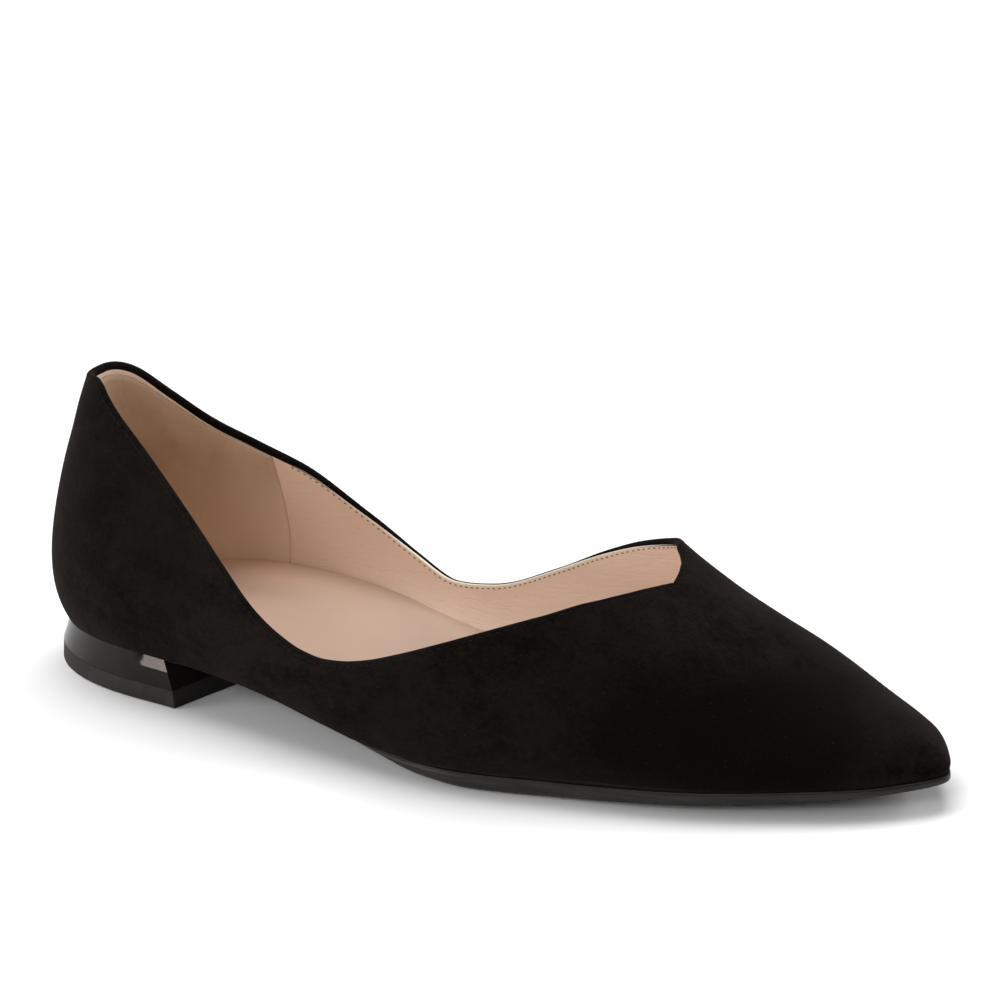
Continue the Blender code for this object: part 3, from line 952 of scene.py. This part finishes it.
@dataclass(frozen=True)
class PaleFloor(Finish):
    """The studio's plain pale floor."""

    base: Colour = (0.94, 0.94, 0.94)
    drift: Colour = (0.92, 0.92, 0.92)

    def material(self) -> bpy.types.Material:
        """Return an almost white matt sweep with the slightest unevenness."""
        r = Recipe("pale_floor")
        drift = r.noise(400.0, detail=2.0)
        r.set(Base_Color=r.blend(drift * 0.2, self.base, self.drift), Roughness=0.7)
        r.set(Specular_IOR_Level=0.2)
        return r.material


@dataclass(frozen=True)
class StitchRow:
    """A row of small raised stitches along a path."""

    pitch: float
    length: float
    radius: float
    around: int = 6
    along: int = 5
    end_room: float = 2.5
    arch: float = 0.5
    flatness: float = 0.8

    def grid(self, path: Array, normal: Array) -> tuple[Array, Array]:
        """Return the points and faces of every stitch of the row.

        A stitch is a bar along the path whose radius shrinks to nothing at its ends as a circle does, and
        which arches up from the surface in its middle.

        Args:
            path: points along the row.
            normal: outward normals there.

        Returns:
            Points of all stitches and their faces.
        """
        step = np.linalg.norm(np.diff(path, axis=0), axis=-1)
        reached = np.concatenate([[0.0], np.cumsum(step)])
        middle = np.arange(self.end_room, reached[-1] - self.end_room, self.pitch)
        tangent = unit(np.gradient(path, axis=0))
        at, up, way = (np.stack([np.interp(middle, reached, a[:, k]) for k in range(3)], -1)
                       for a in (path, normal, tangent))
        up, way = unit(up), unit(way)
        across = np.cross(up, way)
        u = np.linspace(-1.0, 1.0, self.along)
        angle = np.linspace(0.0, 2 * math.pi, self.around, endpoint=False)
        thick = self.radius * np.sqrt(np.clip(1.0 - u ** 2, 0, 1))
        bar = u * self.length / 2
        lift = self.radius * self.arch * (1 - 2 * u ** 2)
        side = thick[None] * np.cos(angle)[:, None]
        high = thick[None] * np.sin(angle)[:, None] * self.flatness + lift[None]
        at, way, across, up = (a[:, None, None] for a in (at, way, across, up))
        points = at + way * bar[:, None] + across * side[..., None] + up * high[..., None]
        one = grid_faces(self.around, self.along, closed=True)
        count = self.around * self.along
        faces = (one[None] + np.arange(len(middle))[:, None, None] * count).reshape(-1, 4)
        return points.reshape(-1, 3), faces


@dataclass(frozen=True)
class NapAndPaintedShadingPatch:
    """A patch of nap tone and painted shade and light, at a station and climb on one side."""

    side: Side
    place: Span
    radius: float
    shade: float


@dataclass
class Upper:
    """The suede outer, its folded collar edge and its row of stitches."""

    last: Last
    collar: Collar
    wall: float = 1.8
    suede_thickness: float = 0.8
    vamp_steps: int = 96
    rows: int = 34
    top_rows: tuple[float, ...] = (7.0, 5.4, 4.0, 3.0, 2.3, 1.8, 1.45, 1.1, 0.6)
    short_rib_share: float = 0.5
    fold_skirt: tuple[float, ...] = (1.05, 1.0185)
    fold_skirt_under: tuple[float, ...] = (0.35, 0.02)
    fold_tail: tuple[float, ...] = (0.0, 0.06, 0.0)
    fold_tail_under: tuple[float, ...] = (0.02, -0.12, -0.55)
    fold_proud: float = 0.05
    fold_sharp_degrees: float = 75.0
    corner_reach: float = 1.08
    round_steps: int = 16
    suede: Suede = Suede()
    clear_of_edge: float = 9.0
    stitches: StitchRow = StitchRow(pitch=2.1, length=1.2, radius=0.10)
    stitch_depth: float = -0.01
    thread: Thread = Thread("black_thread", (0.006, 0.0055, 0.0055), (0.013, 0.0120, 0.0118), shine=0.09)
    nap_and_painted_shading_limit: float = 0.9
    # Nap tone and painted shade and light: dark over the front of the vamp, light on its top and low on the
    # heel.
    nap_and_painted_shading_patches: tuple[NapAndPaintedShadingPatch, ...] = (
        NapAndPaintedShadingPatch(Side.LATERAL, (0.80, 0.38), 21.0, -0.70),
        NapAndPaintedShadingPatch(Side.LATERAL, (0.87, 0.34), 19.0, -0.85),
        NapAndPaintedShadingPatch(Side.LATERAL, (0.89, 0.75), 14.0, -0.85),
        NapAndPaintedShadingPatch(Side.LATERAL, (0.74, 0.22), 14.0, -0.40),
        NapAndPaintedShadingPatch(Side.LATERAL, (0.22, 0.34), 13.0, -0.35),
        NapAndPaintedShadingPatch(Side.LATERAL, (0.08, 0.50), 24.0, -0.25),
        NapAndPaintedShadingPatch(Side.LATERAL, (0.528, 0.11), 9.0, -0.35),
        NapAndPaintedShadingPatch(Side.LATERAL, (0.38, 0.09), 24.0, 0.35),
        NapAndPaintedShadingPatch(Side.LATERAL, (0.10, 0.16), 16.0, 0.60),
        NapAndPaintedShadingPatch(Side.LATERAL, (0.79, 0.96), 18.0, 0.65),
        NapAndPaintedShadingPatch(Side.MEDIAL, (0.83, 0.40), 20.0, -0.55),
        NapAndPaintedShadingPatch(Side.MEDIAL, (0.20, 0.30), 14.0, -0.35),
        NapAndPaintedShadingPatch(Side.MEDIAL, (0.62, 0.20), 16.0, 0.30),
        NapAndPaintedShadingPatch(Side.MEDIAL, (0.30, 0.08), 18.0, 0.25),
    )

    def nap_and_painted_shading(self, points: Array) -> Array:
        """Return how much darker or lighter the suede is at points, nap tone and painted shade and light,
        as a sum of bells.
        """
        shade = np.zeros(points.shape[:-1])
        for patch in self.nap_and_painted_shading_patches:
            away = np.linalg.norm(points - self.last.spot(patch.side, patch.place), axis=-1)
            shade += patch.shade * np.exp(-(away / patch.radius) ** 2)
        return np.clip(shade, -self.nap_and_painted_shading_limit, self.nap_and_painted_shading_limit)

    def ribs(self, edge_rows: Array) -> tuple[Array, Array, int]:
        """Return turns and climbs of a grid whose upper rows follow the collar at given distances.

        Ribs run round the whole shoe. Upper rows step into the wall square to the collar, or down from the
        ridge in front of the throat, and the lower rows are spread evenly down to the feather edge.

        Args:
            edge_rows: distances from the collar for each rib of the chain, largest first.

        Returns:
            The turns, the climbs and the number of ribs that end at the collar.
        """
        last = self.last
        turn, climb, turn_step, climb_step = self.collar.chain()
        turn_step = turn_step * soft_step(0.0, self.collar.fade_turn, last.throat - np.abs(turn))
        ahead = np.linspace(last.throat, math.pi, self.vamp_steps + 1)[1:]
        vamp = np.concatenate([ahead, -ahead[-2::-1]])
        up = np.linalg.norm(last.slopes(vamp, np.ones_like(vamp))[1], axis=-1)
        turns, climbs = np.concatenate([turn, vamp]), np.concatenate([climb, np.ones_like(vamp)])
        turn_steps = np.concatenate([turn_step, np.zeros_like(vamp)])
        climb_steps = np.concatenate([climb_step, -1 / up])
        top = edge_rows[-1:] - edge_rows[-1:, -1:]
        distance = np.concatenate([edge_rows, np.repeat(top, len(vamp), 0)])
        height = np.linalg.norm(last.point(turns, climbs) - last.point(turns, 0.0), axis=-1)
        distance = distance * np.minimum(1, height * self.short_rib_share / distance[:, 0])[:, None]
        upper_turn = turns[:, None] + turn_steps[:, None] * distance
        upper_climb = climbs[:, None] + climb_steps[:, None] * distance
        share = np.linspace(0.0, 1.0, self.rows)[None, :-1]
        lower_turn = turns[:, None] + (upper_turn[:, :1] - turns[:, None]) * share ** 2
        lower_climb = upper_climb[:, :1] * share
        return np.hstack([lower_turn, upper_turn]), np.hstack([lower_climb, upper_climb]), len(turn)

    def make_suede(self) -> bpy.types.Object:
        """Make the suede outer from the feather edge to the collar, closed along the vamp's ridge."""
        rows = np.repeat(np.array(self.top_rows)[None], len(self.collar.turn), 0)
        turn, climb, _ = self.ribs(rows)
        points = self.last.wall(turn, climb, 0.0)
        edge = distance_to(points, self.collar.edge_points())
        piece = Piece("suede_outer", self.last, self.suede, "suede", ("upper",), turn_out=False)
        # The shade mark holds nap tone and painted shade and light.
        marks = {"edge": edge, "shade": self.nap_and_painted_shading(points)}
        made = piece.make(points, grid_faces(*points.shape[:2], closed=True), marks)
        thicken(made, self.suede_thickness)
        return made

    def fold_profile(self, depth: Array) -> tuple[Array, Array]:
        """Return the folded edge's profile: distances into the wall and depths under the last.

        It runs up the outside, over the edge on a half circle as thick as the wall, down the inside to the
        fold's depth, and back up through the middle of the wall. A short fold ends on the half circle.
        """
        half = (self.wall + self.fold_proud) / 2
        last_angle = math.pi - np.arcsin(np.clip(1 - depth / half, 0, 1))
        angle = np.linspace(0.0, 1.0, self.round_steps)[None] * last_angle[:, None]
        ones = np.ones_like(depth)[:, None]
        over_into = half - half * np.sin(angle)
        over_under = half - half * np.cos(angle) - self.fold_proud
        inner_into = np.maximum(depth, over_into[:, -1])[:, None] + self.fold_tail
        inner_under = over_under[:, -1:] + self.fold_tail_under
        into = np.hstack([ones * self.fold_skirt, over_into, inner_into])
        return into, np.hstack([ones * self.fold_skirt_under, over_under, inner_under])

    def make_fold(self) -> bpy.types.Object:
        """Make the folded edge, its profile carried round the collar with a mitred corner at the throat."""
        turn, climb, turn_step, climb_step = self.collar.loop(self.corner_reach)
        into, under = self.fold_profile(self.last.fold_depth(turn))
        at_turn = turn[:, None] + turn_step[:, None] * into
        at_climb = np.minimum(climb[:, None] + climb_step[:, None] * into, 1.0)
        points = self.last.wall(at_turn, at_climb, under)
        count, rows = points.shape[:2]
        wrapped = np.concatenate([points, points[:, :1]], 1)
        marks = {"edge": np.full(wrapped.shape[:2], self.clear_of_edge)}
        piece = Piece("collar_fold", self.last, self.suede, "suede", sharp_degrees=self.fold_sharp_degrees)
        return piece.make(wrapped, grid_faces(count, rows + 1, closed=True), marks)

    def stitch_path(self, into: Array | float, depth: float) -> tuple[Array, Array]:
        """Return points and outward normals along the collar, so far into the wall and so deep in it."""
        turn, climb, turn_step, climb_step = self.collar.chain()
        at_turn, at_climb = turn + turn_step * into, climb + climb_step * into
        return self.last.wall(at_turn, at_climb, depth), self.last.normal(at_turn, at_climb)

    def make_stitches(self) -> bpy.types.Object:
        """Make the row of black stitches under the collar's edge."""
        path, normal = self.stitch_path(self.suede.stitch_row, self.stitch_depth)
        piece = Piece("collar_stitches", self.last, self.thread, "suede", weld=FINE_WELD)
        return piece.make(*self.stitches.grid(path, normal))


@dataclass
class Lining:
    """The leather lining with its pale cut edge and brown stitches, and the heel's counter lining."""

    upper: Upper
    thickness: float = 0.75
    tuck: float = 0.35
    least_drop: float = 0.1
    counter_station: float = 0.157
    counter_lean: float = 0.006
    counter_proud: float = 0.28
    counter_clear: float = 0.03
    counter_foot: float = 0.02
    counter_drop: float = 1.7
    counter_steps: int = 90
    counter_rows: int = 40
    top_rows: tuple[float, ...] = (7.0, 5.4, 4.0, 3.0, 2.2, 1.6, 1.25, 0.95, 0.6, 0.3, 0.0)
    stitch_drop: float = 0.48
    stitch_start: float = 0.17
    stitch_proud: float = 0.02
    stitches: StitchRow = StitchRow(pitch=1.75, length=1.0, radius=0.16)
    thread: Thread = Thread("brown_thread", (0.15, 0.088, 0.055), (0.27, 0.175, 0.12))
    turn_in: float = 3.3
    turn_in_rise: float = 0.45

    def turned_in(self, turn: Array) -> Array:
        """Return the line inside the insole's rim to which the lining is turned in at its foot."""
        last = self.upper.last
        foot = last.point(turn, np.zeros_like(turn))
        foot = last.moved_out(turn, foot, np.full_like(turn, -self.turn_in))
        foot[..., 2] = last.feather(foot[..., 0]) + self.turn_in_rise
        return foot

    def make_lining(self) -> bpy.types.Object:
        """Make the lining, a sheet inside the suede from under the fold to under the insole."""
        last = self.upper.last
        depth = last.fold_depth(self.upper.collar.turn)
        rows = np.array(self.top_rows)[None] + np.maximum(depth - self.tuck, self.least_drop)[:, None]
        turn, climb, chain = self.upper.ribs(rows)
        points = last.wall(turn, climb, self.upper.wall)
        points = np.concatenate([self.turned_in(turn[:, :1]), points], 1)
        edge = distance_to(points, points[:chain, -1]) - self.tuck
        piece = Piece("lining", last, LiningLeather(), "lining_leather", turn_out=False)
        faces = grid_faces(*points.shape[:2], closed=True)[:, ::-1]
        made = piece.make(points, faces, {"edge": edge})
        thicken(made, self.thickness)
        return made

    def make_counter(self) -> bpy.types.Object:
        """Make the heel's counter lining, a patch that stands a little proud of the lining."""
        last = self.upper.last
        reach = float(last.turn_at(self.counter_station))
        turns = np.linspace(-reach, reach, self.counter_steps + 1)
        turn, climb, turn_step, climb_step = self.upper.collar.steps_from(turns)
        into = last.fold_depth(turn) + self.counter_drop - self.tuck
        share = np.linspace(self.counter_foot, 1.0, self.counter_rows)[None]
        lean = 1 + self.counter_lean / self.counter_station * share ** 2
        at_turn = turn[:, None] * lean + (turn_step * into)[:, None] * share ** 2
        at_climb = (climb + climb_step * into)[:, None] * share
        points = last.wall(at_turn, at_climb, self.upper.wall + self.counter_proud)
        piece = Piece("counter_lining", last, CounterLeather(), "lining_leather", turn_out=False)
        made = piece.make(points, grid_faces(*points.shape[:2])[:, ::-1])
        thicken(made, self.counter_proud - self.counter_clear)
        return made

    def make_stitches(self) -> bpy.types.Object:
        """Make the brown stitches under the lining's cut edge, on each side in front of the counter."""
        last, turn = self.upper.last, self.upper.collar.turn
        into = last.fold_depth(turn) + self.stitch_drop
        path, outward = self.upper.stitch_path(into, self.upper.wall + self.stitch_proud)
        ends = last.turn_at(self.stitch_start)
        rows = [self.stitches.grid(path[part], -outward[part]) for part in (turn > ends, turn < -ends)]
        (first, first_faces), (second, second_faces) = rows
        faces = np.concatenate([first_faces, second_faces + len(first)])
        piece = Piece("lining_stitches", last, self.thread, "lining_leather", weld=FINE_WELD)
        return piece.make(np.concatenate([first, second]), faces)


def plank(
    lateral: Array, medial: Array, across: int, crown: float = 0.0, crown_room: float = 12.0,
) -> list[Array]:
    """Return the grids of a flat solid between two sides.

    Each side is a grid of columns along the shoe by rows down its edge. The top and the underside are
    straight lines from side to side, the top raised by a parabola, and the open end is closed the same way.

    Args:
        lateral: points of the lateral edge.
        medial: points of the medial edge, column by column opposite the lateral ones.
        across: number of points from side to side.
        crown: how far the middle of the top rises.
        crown_room: how much wider than its end the top is where it has its whole crown.

    Returns:
        The grids that make up the closed solid.
    """
    v = np.linspace(0.0, 1.0, across)[None, :, None]
    top = lateral[:, :1] * (1 - v) + medial[:, :1] * v
    width = np.linalg.norm(medial[:, 0] - lateral[:, 0], axis=-1)
    full = soft_step(0.0, crown_room, width - width[0])[:, None]
    top[..., 2] += crown * full * (4 * v * (1 - v))[..., 0]
    under = lateral[:, -1:] * (1 - v) + medial[:, -1:] * v
    end = lateral[0][:, None] * (1 - v[0]) + medial[0][:, None] * v[0]
    return [lateral, medial, top, under, end]


@dataclass
class Insole:
    """The covered insole that the foot stands on."""

    last: Last
    inset: float = 2.42
    thickness: float = 2.5
    waist: Span = (0.36, 0.13)
    waist_thin: float = 1.5
    round_radius: float = 0.7
    crown: float = 0.35
    heel_chord: float = 0.05
    steps: int = 120
    rows: int = 7
    across: int = 26

    def side(self, turn: Array) -> Array:
        """Return the insole's edge, rounded at the top on a quarter circle, then straight down.

        The plate is thinner at the waist.
        """
        angle = np.linspace(0.0, math.pi / 2, self.rows)
        drop = np.append(self.round_radius * (1 - np.sin(angle[::-1])), self.thickness)
        inward = np.append(self.round_radius * (1 - np.cos(angle[::-1])), 0.0)
        column = turn[:, None] * np.ones_like(drop)[None]
        middle, width = self.waist
        thin = self.waist_thin * np.exp(-((self.last.station_at(column) - middle) / width) ** 2)
        rise = np.maximum(self.thickness - thin - drop[None], 0.0)
        foot = self.last.feather(self.last.outline(column)[..., 0])
        points = self.last.point(column, self.last.climb_to(column, foot + rise))
        points = self.last.moved_out(column, points, -(self.inset + inward[None]) * np.ones_like(column))
        points[..., 2] = self.last.feather(points[..., 0]) + rise
        return points

    def make(self) -> bpy.types.Object:
        """Make the insole as a crowned plate from the heel to the toe."""
        turn = np.linspace(self.heel_chord, math.pi, self.steps + 1)
        grids = plank(self.side(turn), self.side(-turn), self.across, self.crown)
        piece = Piece("insole_cover", self.last, InsoleLeather(), "lining_leather", ("insole",), SOLID_WELD)
        return piece.make_grids(grids)


@dataclass
class Heel:
    """The glossy heel block and its rubber lift, cut off by a slanted front."""

    last: Last
    breast: float = 59.2
    breast_skew: float = 0.15
    breast_rake: float = 0.26
    flare: float = 3.0
    lift_flare: float = 0.7
    side_inset: float = 0.4
    gap: float = 0.3
    lift_gap: float = 0.1
    lift_height: float = 4.2
    block_round: float = 0.22
    lift_round: float = 0.16
    steps: int = 64
    rows: int = 9
    across: int = 22
    search: Span = (0.2, 1.8)

    def breast_turn(self, ring: Ring, side: Side, gap: float = 0.0) -> float:
        """Return the turn at which a ring crosses the heel's front, slanted above the lift, by halving."""
        low, high = self.search
        for _ in range(self.last.solve_steps):
            middle = (low + high) / 2
            point = ring(np.array([side.value * middle]))[0]
            height = max(float(point[2]), self.lift_height)
            limit = self.breast + self.breast_skew * point[1] - self.breast_rake * height + gap
            low, high = (middle, high) if point[0] < limit else (low, middle)
        return side.value * (low + high) / 2

    def ring(self, height: float | None, flare: float) -> Ring:
        """Return a function for the heel's edge at a height, flared most at the back; None is the seat."""
        def edge(turn: Array) -> Array:
            """Return the edge's points for turns."""
            points = self.last.point(turn, np.zeros_like(turn))
            x = points[..., 0]
            back = ((self.breast - x) / (self.breast + x)).clip(0)
            points = self.last.moved_out(turn, points, flare * back - self.side_inset)
            points[..., 2] = self.last.feather(points[..., 0]) - self.gap if height is None else height
            return points
        return edge

    def side(self, side: Side, upper: Ring, lower: Ring) -> Array:
        """Return one side from the front to the back, straight down between two rings."""
        share = np.linspace(1.0, 0.0, self.steps + 1)
        high = upper(share * self.breast_turn(upper, side))
        low = lower(share * self.breast_turn(lower, side))
        v = np.linspace(0.0, 1.0, self.rows)[None, :, None]
        return high[:, None] * (1 - v) + low[:, None] * v

    def solid(self, piece: Piece, upper: Ring, lower: Ring, rounding: float) -> bpy.types.Object:
        """Make a slice of the heel between two rings, with its edges rounded."""
        sides = [self.side(side, upper, lower) for side in (Side.LATERAL, Side.MEDIAL)]
        made = piece.make_grids(plank(*sides, self.across))
        soften(made, rounding)
        return made

    def make_block(self) -> bpy.types.Object:
        """Make the glossy block between the seat and the lift."""
        piece = Piece("heel_lacquer", self.last, GlossHeel(), "heel_gloss", ("heel_block",), SOLID_WELD)
        foot = self.ring(self.lift_height + self.lift_gap, self.flare)
        return self.solid(piece, self.ring(None, 0.0), foot, self.block_round)

    def make_lift(self) -> bpy.types.Object:
        """Make the rubber lift that stands on the floor."""
        piece = Piece("heel_rubber", self.last, LiftRubber(), "lift_rubber", ("heel_lift",), SOLID_WELD)
        foot = self.ring(0.0, self.flare + self.lift_flare)
        return self.solid(piece, self.ring(self.lift_height, self.flare), foot, self.lift_round)


@dataclass
class Outsole:
    """The thin outsole from the front of the heel to the toe."""

    last: Last
    heel: Heel
    gap: float = 0.3
    top_gap: float = 0.1
    tread_share: float = 0.72
    bulge: float = 0.12
    groove_place: float = 0.17
    groove_depth: float = 0.22
    groove_width: float = 0.07
    foot_start: float = 0.78
    skive_rise: float = 0.7
    skive_bevel: Span = (0.6, 2.0)
    foot_mark: float = 0.5
    steps: int = 150
    edge_rows: int = 22
    under_rows: int = 8
    across: int = 20

    def edge(self, share: float) -> Ring:
        """Return a function for the sole's edge at a share of its height, 0 at the top.

        The edge bulges as half a sine, with a narrow groove near its top. Its foot is drawn in, and at the
        waist the whole edge is skived.
        """
        def ring(turn: Array) -> Array:
            """Return the edge's points for turns."""
            station = self.last.station_at(turn)
            groove = np.exp(-((share - self.groove_place) / self.groove_width) ** 2)
            out = self.bulge * np.sin(math.pi * share) - self.groove_depth * groove
            bevel = OUTSOLE_EDGE.read("bevel", station)
            start = self.foot_start - self.skive_rise * soft_step(*self.skive_bevel, bevel)
            out = out + OUTSOLE_EDGE.read("margin", station) - bevel * soft_step(start, 1.0, share)
            points = self.last.moved_out(turn, self.last.point(turn, np.zeros_like(turn)), out)
            thickness = OUTSOLE_EDGE.read("thickness", station)
            points[..., 2] -= self.top_gap + (thickness - self.top_gap) * share
            return points
        return ring

    def under(self, share: float) -> Ring:
        """Return a function for the underside at a share of its way from the edge's foot to the tread."""
        def ring(turn: Array) -> Array:
            """Return the underside's points for turns."""
            foot = self.edge(1.0)(turn)
            ridge = self.last.ridge(turn)
            tread = foot.copy()
            tread[..., :2] = ridge + (foot[..., :2] - ridge) * self.tread_share
            tread[..., 2] = TREAD.read("height", tread[..., 0] / self.last.length)
            points = foot + (tread - foot) * share
            points[..., 2] = foot[..., 2] + (tread - foot)[..., 2] * math.sin(share * math.pi / 2)
            return points
        return ring

    def side(self, side: Side) -> tuple[Array, Array]:
        """Return one side's points, down the edge and in to the tread, and how far each is underneath."""
        shares = np.linspace(0.0, 1.0, self.edge_rows)
        inward = np.linspace(0.0, 1.0, self.under_rows + 1)[1:]
        rings = [self.edge(s) for s in shares] + [self.under(s) for s in inward]
        along = np.linspace(0.0, 1.0, self.steps + 1)
        columns = []
        for ring in rings:
            start = self.heel.breast_turn(ring, side, self.gap)
            columns.append(ring(start + (side.value * math.pi - start) * along))
        under = np.concatenate([np.zeros(self.edge_rows - 1), [self.foot_mark], np.ones(self.under_rows)])
        return np.stack(columns, 1), np.repeat(under[None], self.steps + 1, 0)

    def make(self) -> bpy.types.Object:
        """Make the outsole as a plank with a shaped edge and a flat tread under the ball."""
        lateral, under = self.side(Side.LATERAL)
        medial, _ = self.side(Side.MEDIAL)
        grids = plank(lateral, medial, self.across)
        top, bottom = np.zeros(grids[2].shape[:2]), np.ones(grids[3].shape[:2])
        marks = [under, under, top, bottom, np.repeat(under[0][:, None], self.across, 1)]
        piece = Piece("sole_board", self.last, SoleBoard(), "sole_board", ("outsole",), SOLID_WELD)
        return piece.make_grids(grids, {"under": marks})


@dataclass(frozen=True)
class Lamp:
    """A soft area light that faces the shoe."""

    name: str
    place: Axes
    size: Span
    power: float
    colour: Colour = (1.0, 1.0, 1.0)


@dataclass
class Studio:
    """The floor, the lights and the camera at the photograph's angle."""

    azimuth: float = 42.48
    elevation: float = 19.02
    roll: float = -6.19
    distance: float = 1.25714
    target: Axes = (0.00208, 0.01189, 0.04899)
    focal_pixels: float = 5609.4
    image_pixels: float = 1000.0
    sensor: float = 36.0
    floor_half: float = 6.0
    floor_drop: float = 0.0002
    floor_points: int = 5
    sky: float = 0.22
    lamps: tuple[Lamp, ...] = (
        Lamp("overhead", (-0.55, 0.55, 2.15), (2.2, 1.6), 54.0),
        Lamp("front_card", (0.35, -1.60, 0.95), (1.0, 0.6), 10.0),
        Lamp("right_card", (0.69, 1.02, 0.45), (0.8, 0.5), 8.5),
        Lamp("left_card", (-1.20, -1.15, 0.75), (1.0, 0.8), 6.0),
        Lamp("low_card", (-1.26, -1.02, 0.14), (0.36, 0.22), 6.0, (1.0, 0.92, 0.90)),
    )

    def make_floor(self) -> None:
        """Make the pale floor as a flat sheet."""
        count = self.floor_points
        line = np.linspace(-self.floor_half, self.floor_half, count)
        x, y = np.meshgrid(line, line, indexing="ij")
        points = np.stack([x, y, np.full_like(x, -self.floor_drop)], -1)
        mesh = bpy.data.meshes.new("floor")
        mesh.from_pydata(points.reshape(-1, 3).tolist(), [], grid_faces(count, count).tolist())
        mesh.materials.append(PaleFloor().material())
        floor = bpy.data.objects.new("floor", mesh)
        bpy.context.scene.collection.objects.link(floor)

    def make_lights(self) -> None:
        """Make the soft lights and an even white surround."""
        for lamp in self.lamps:
            data = bpy.data.lights.new(lamp.name, "AREA")
            data.shape = "RECTANGLE"
            data.size, data.size_y = lamp.size
            data.energy = lamp.power
            data.color = lamp.colour
            light = bpy.data.objects.new(lamp.name, data)
            light.location = lamp.place
            facing = Vector(self.target) - Vector(lamp.place)
            light.rotation_euler = facing.to_track_quat("-Z", "Y").to_euler()
            bpy.context.scene.collection.objects.link(light)
        world = bpy.data.worlds.new("surround")
        world.use_nodes = True
        sky = world.node_tree.nodes["Background"]
        sky.inputs["Color"].default_value = (1.0, 1.0, 1.0, 1.0)
        sky.inputs["Strength"].default_value = self.sky
        bpy.context.scene.world = world
        bpy.context.scene.view_settings.view_transform = "Standard"

    def make_camera(self) -> None:
        """Make the camera, turned round the shoe by its azimuth, elevation and roll."""
        a, e, r = (math.radians(v) for v in (self.azimuth, self.elevation, self.roll))
        back = Vector((math.sin(a) * math.cos(e), -math.cos(a) * math.cos(e), math.sin(e)))
        level = Vector((math.cos(a), math.sin(a), 0.0))
        upright = back.cross(level)
        right = level * math.cos(r) + upright * math.sin(r)
        up = upright * math.cos(r) - level * math.sin(r)
        data = bpy.data.cameras.new("camera")
        data.sensor_width = self.sensor
        data.lens = self.focal_pixels * self.sensor / self.image_pixels
        camera = bpy.data.objects.new("camera", data)
        turned = Matrix((right, up, back)).transposed().to_4x4()
        turned.translation = Vector(self.target) + back * self.distance
        camera.matrix_world = turned
        bpy.context.scene.collection.objects.link(camera)
        bpy.context.scene.camera = camera

    def make(self) -> None:
        """Make the whole studio."""
        self.make_floor()
        self.make_lights()
        self.make_camera()


def main() -> None:
    """Load the frame, build the shoe's pieces and the studio, and note the sizes."""
    logging.basicConfig(level=logging.INFO, format="%(message)s")
    for old in list(bpy.data.objects):
        bpy.data.objects.remove(old)
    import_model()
    last = Last()
    upper = Upper(last, Collar(last))
    lining = Lining(upper)
    heel = Heel(last)
    makers = (
        upper.make_suede, upper.make_fold, upper.make_stitches,
        lining.make_lining, lining.make_counter, lining.make_stitches,
        Insole(last).make, Outsole(last, heel).make, heel.make_block, heel.make_lift,
    )
    for make in makers:
        make()
    Studio().make()


if __name__ == "__main__":
    main()
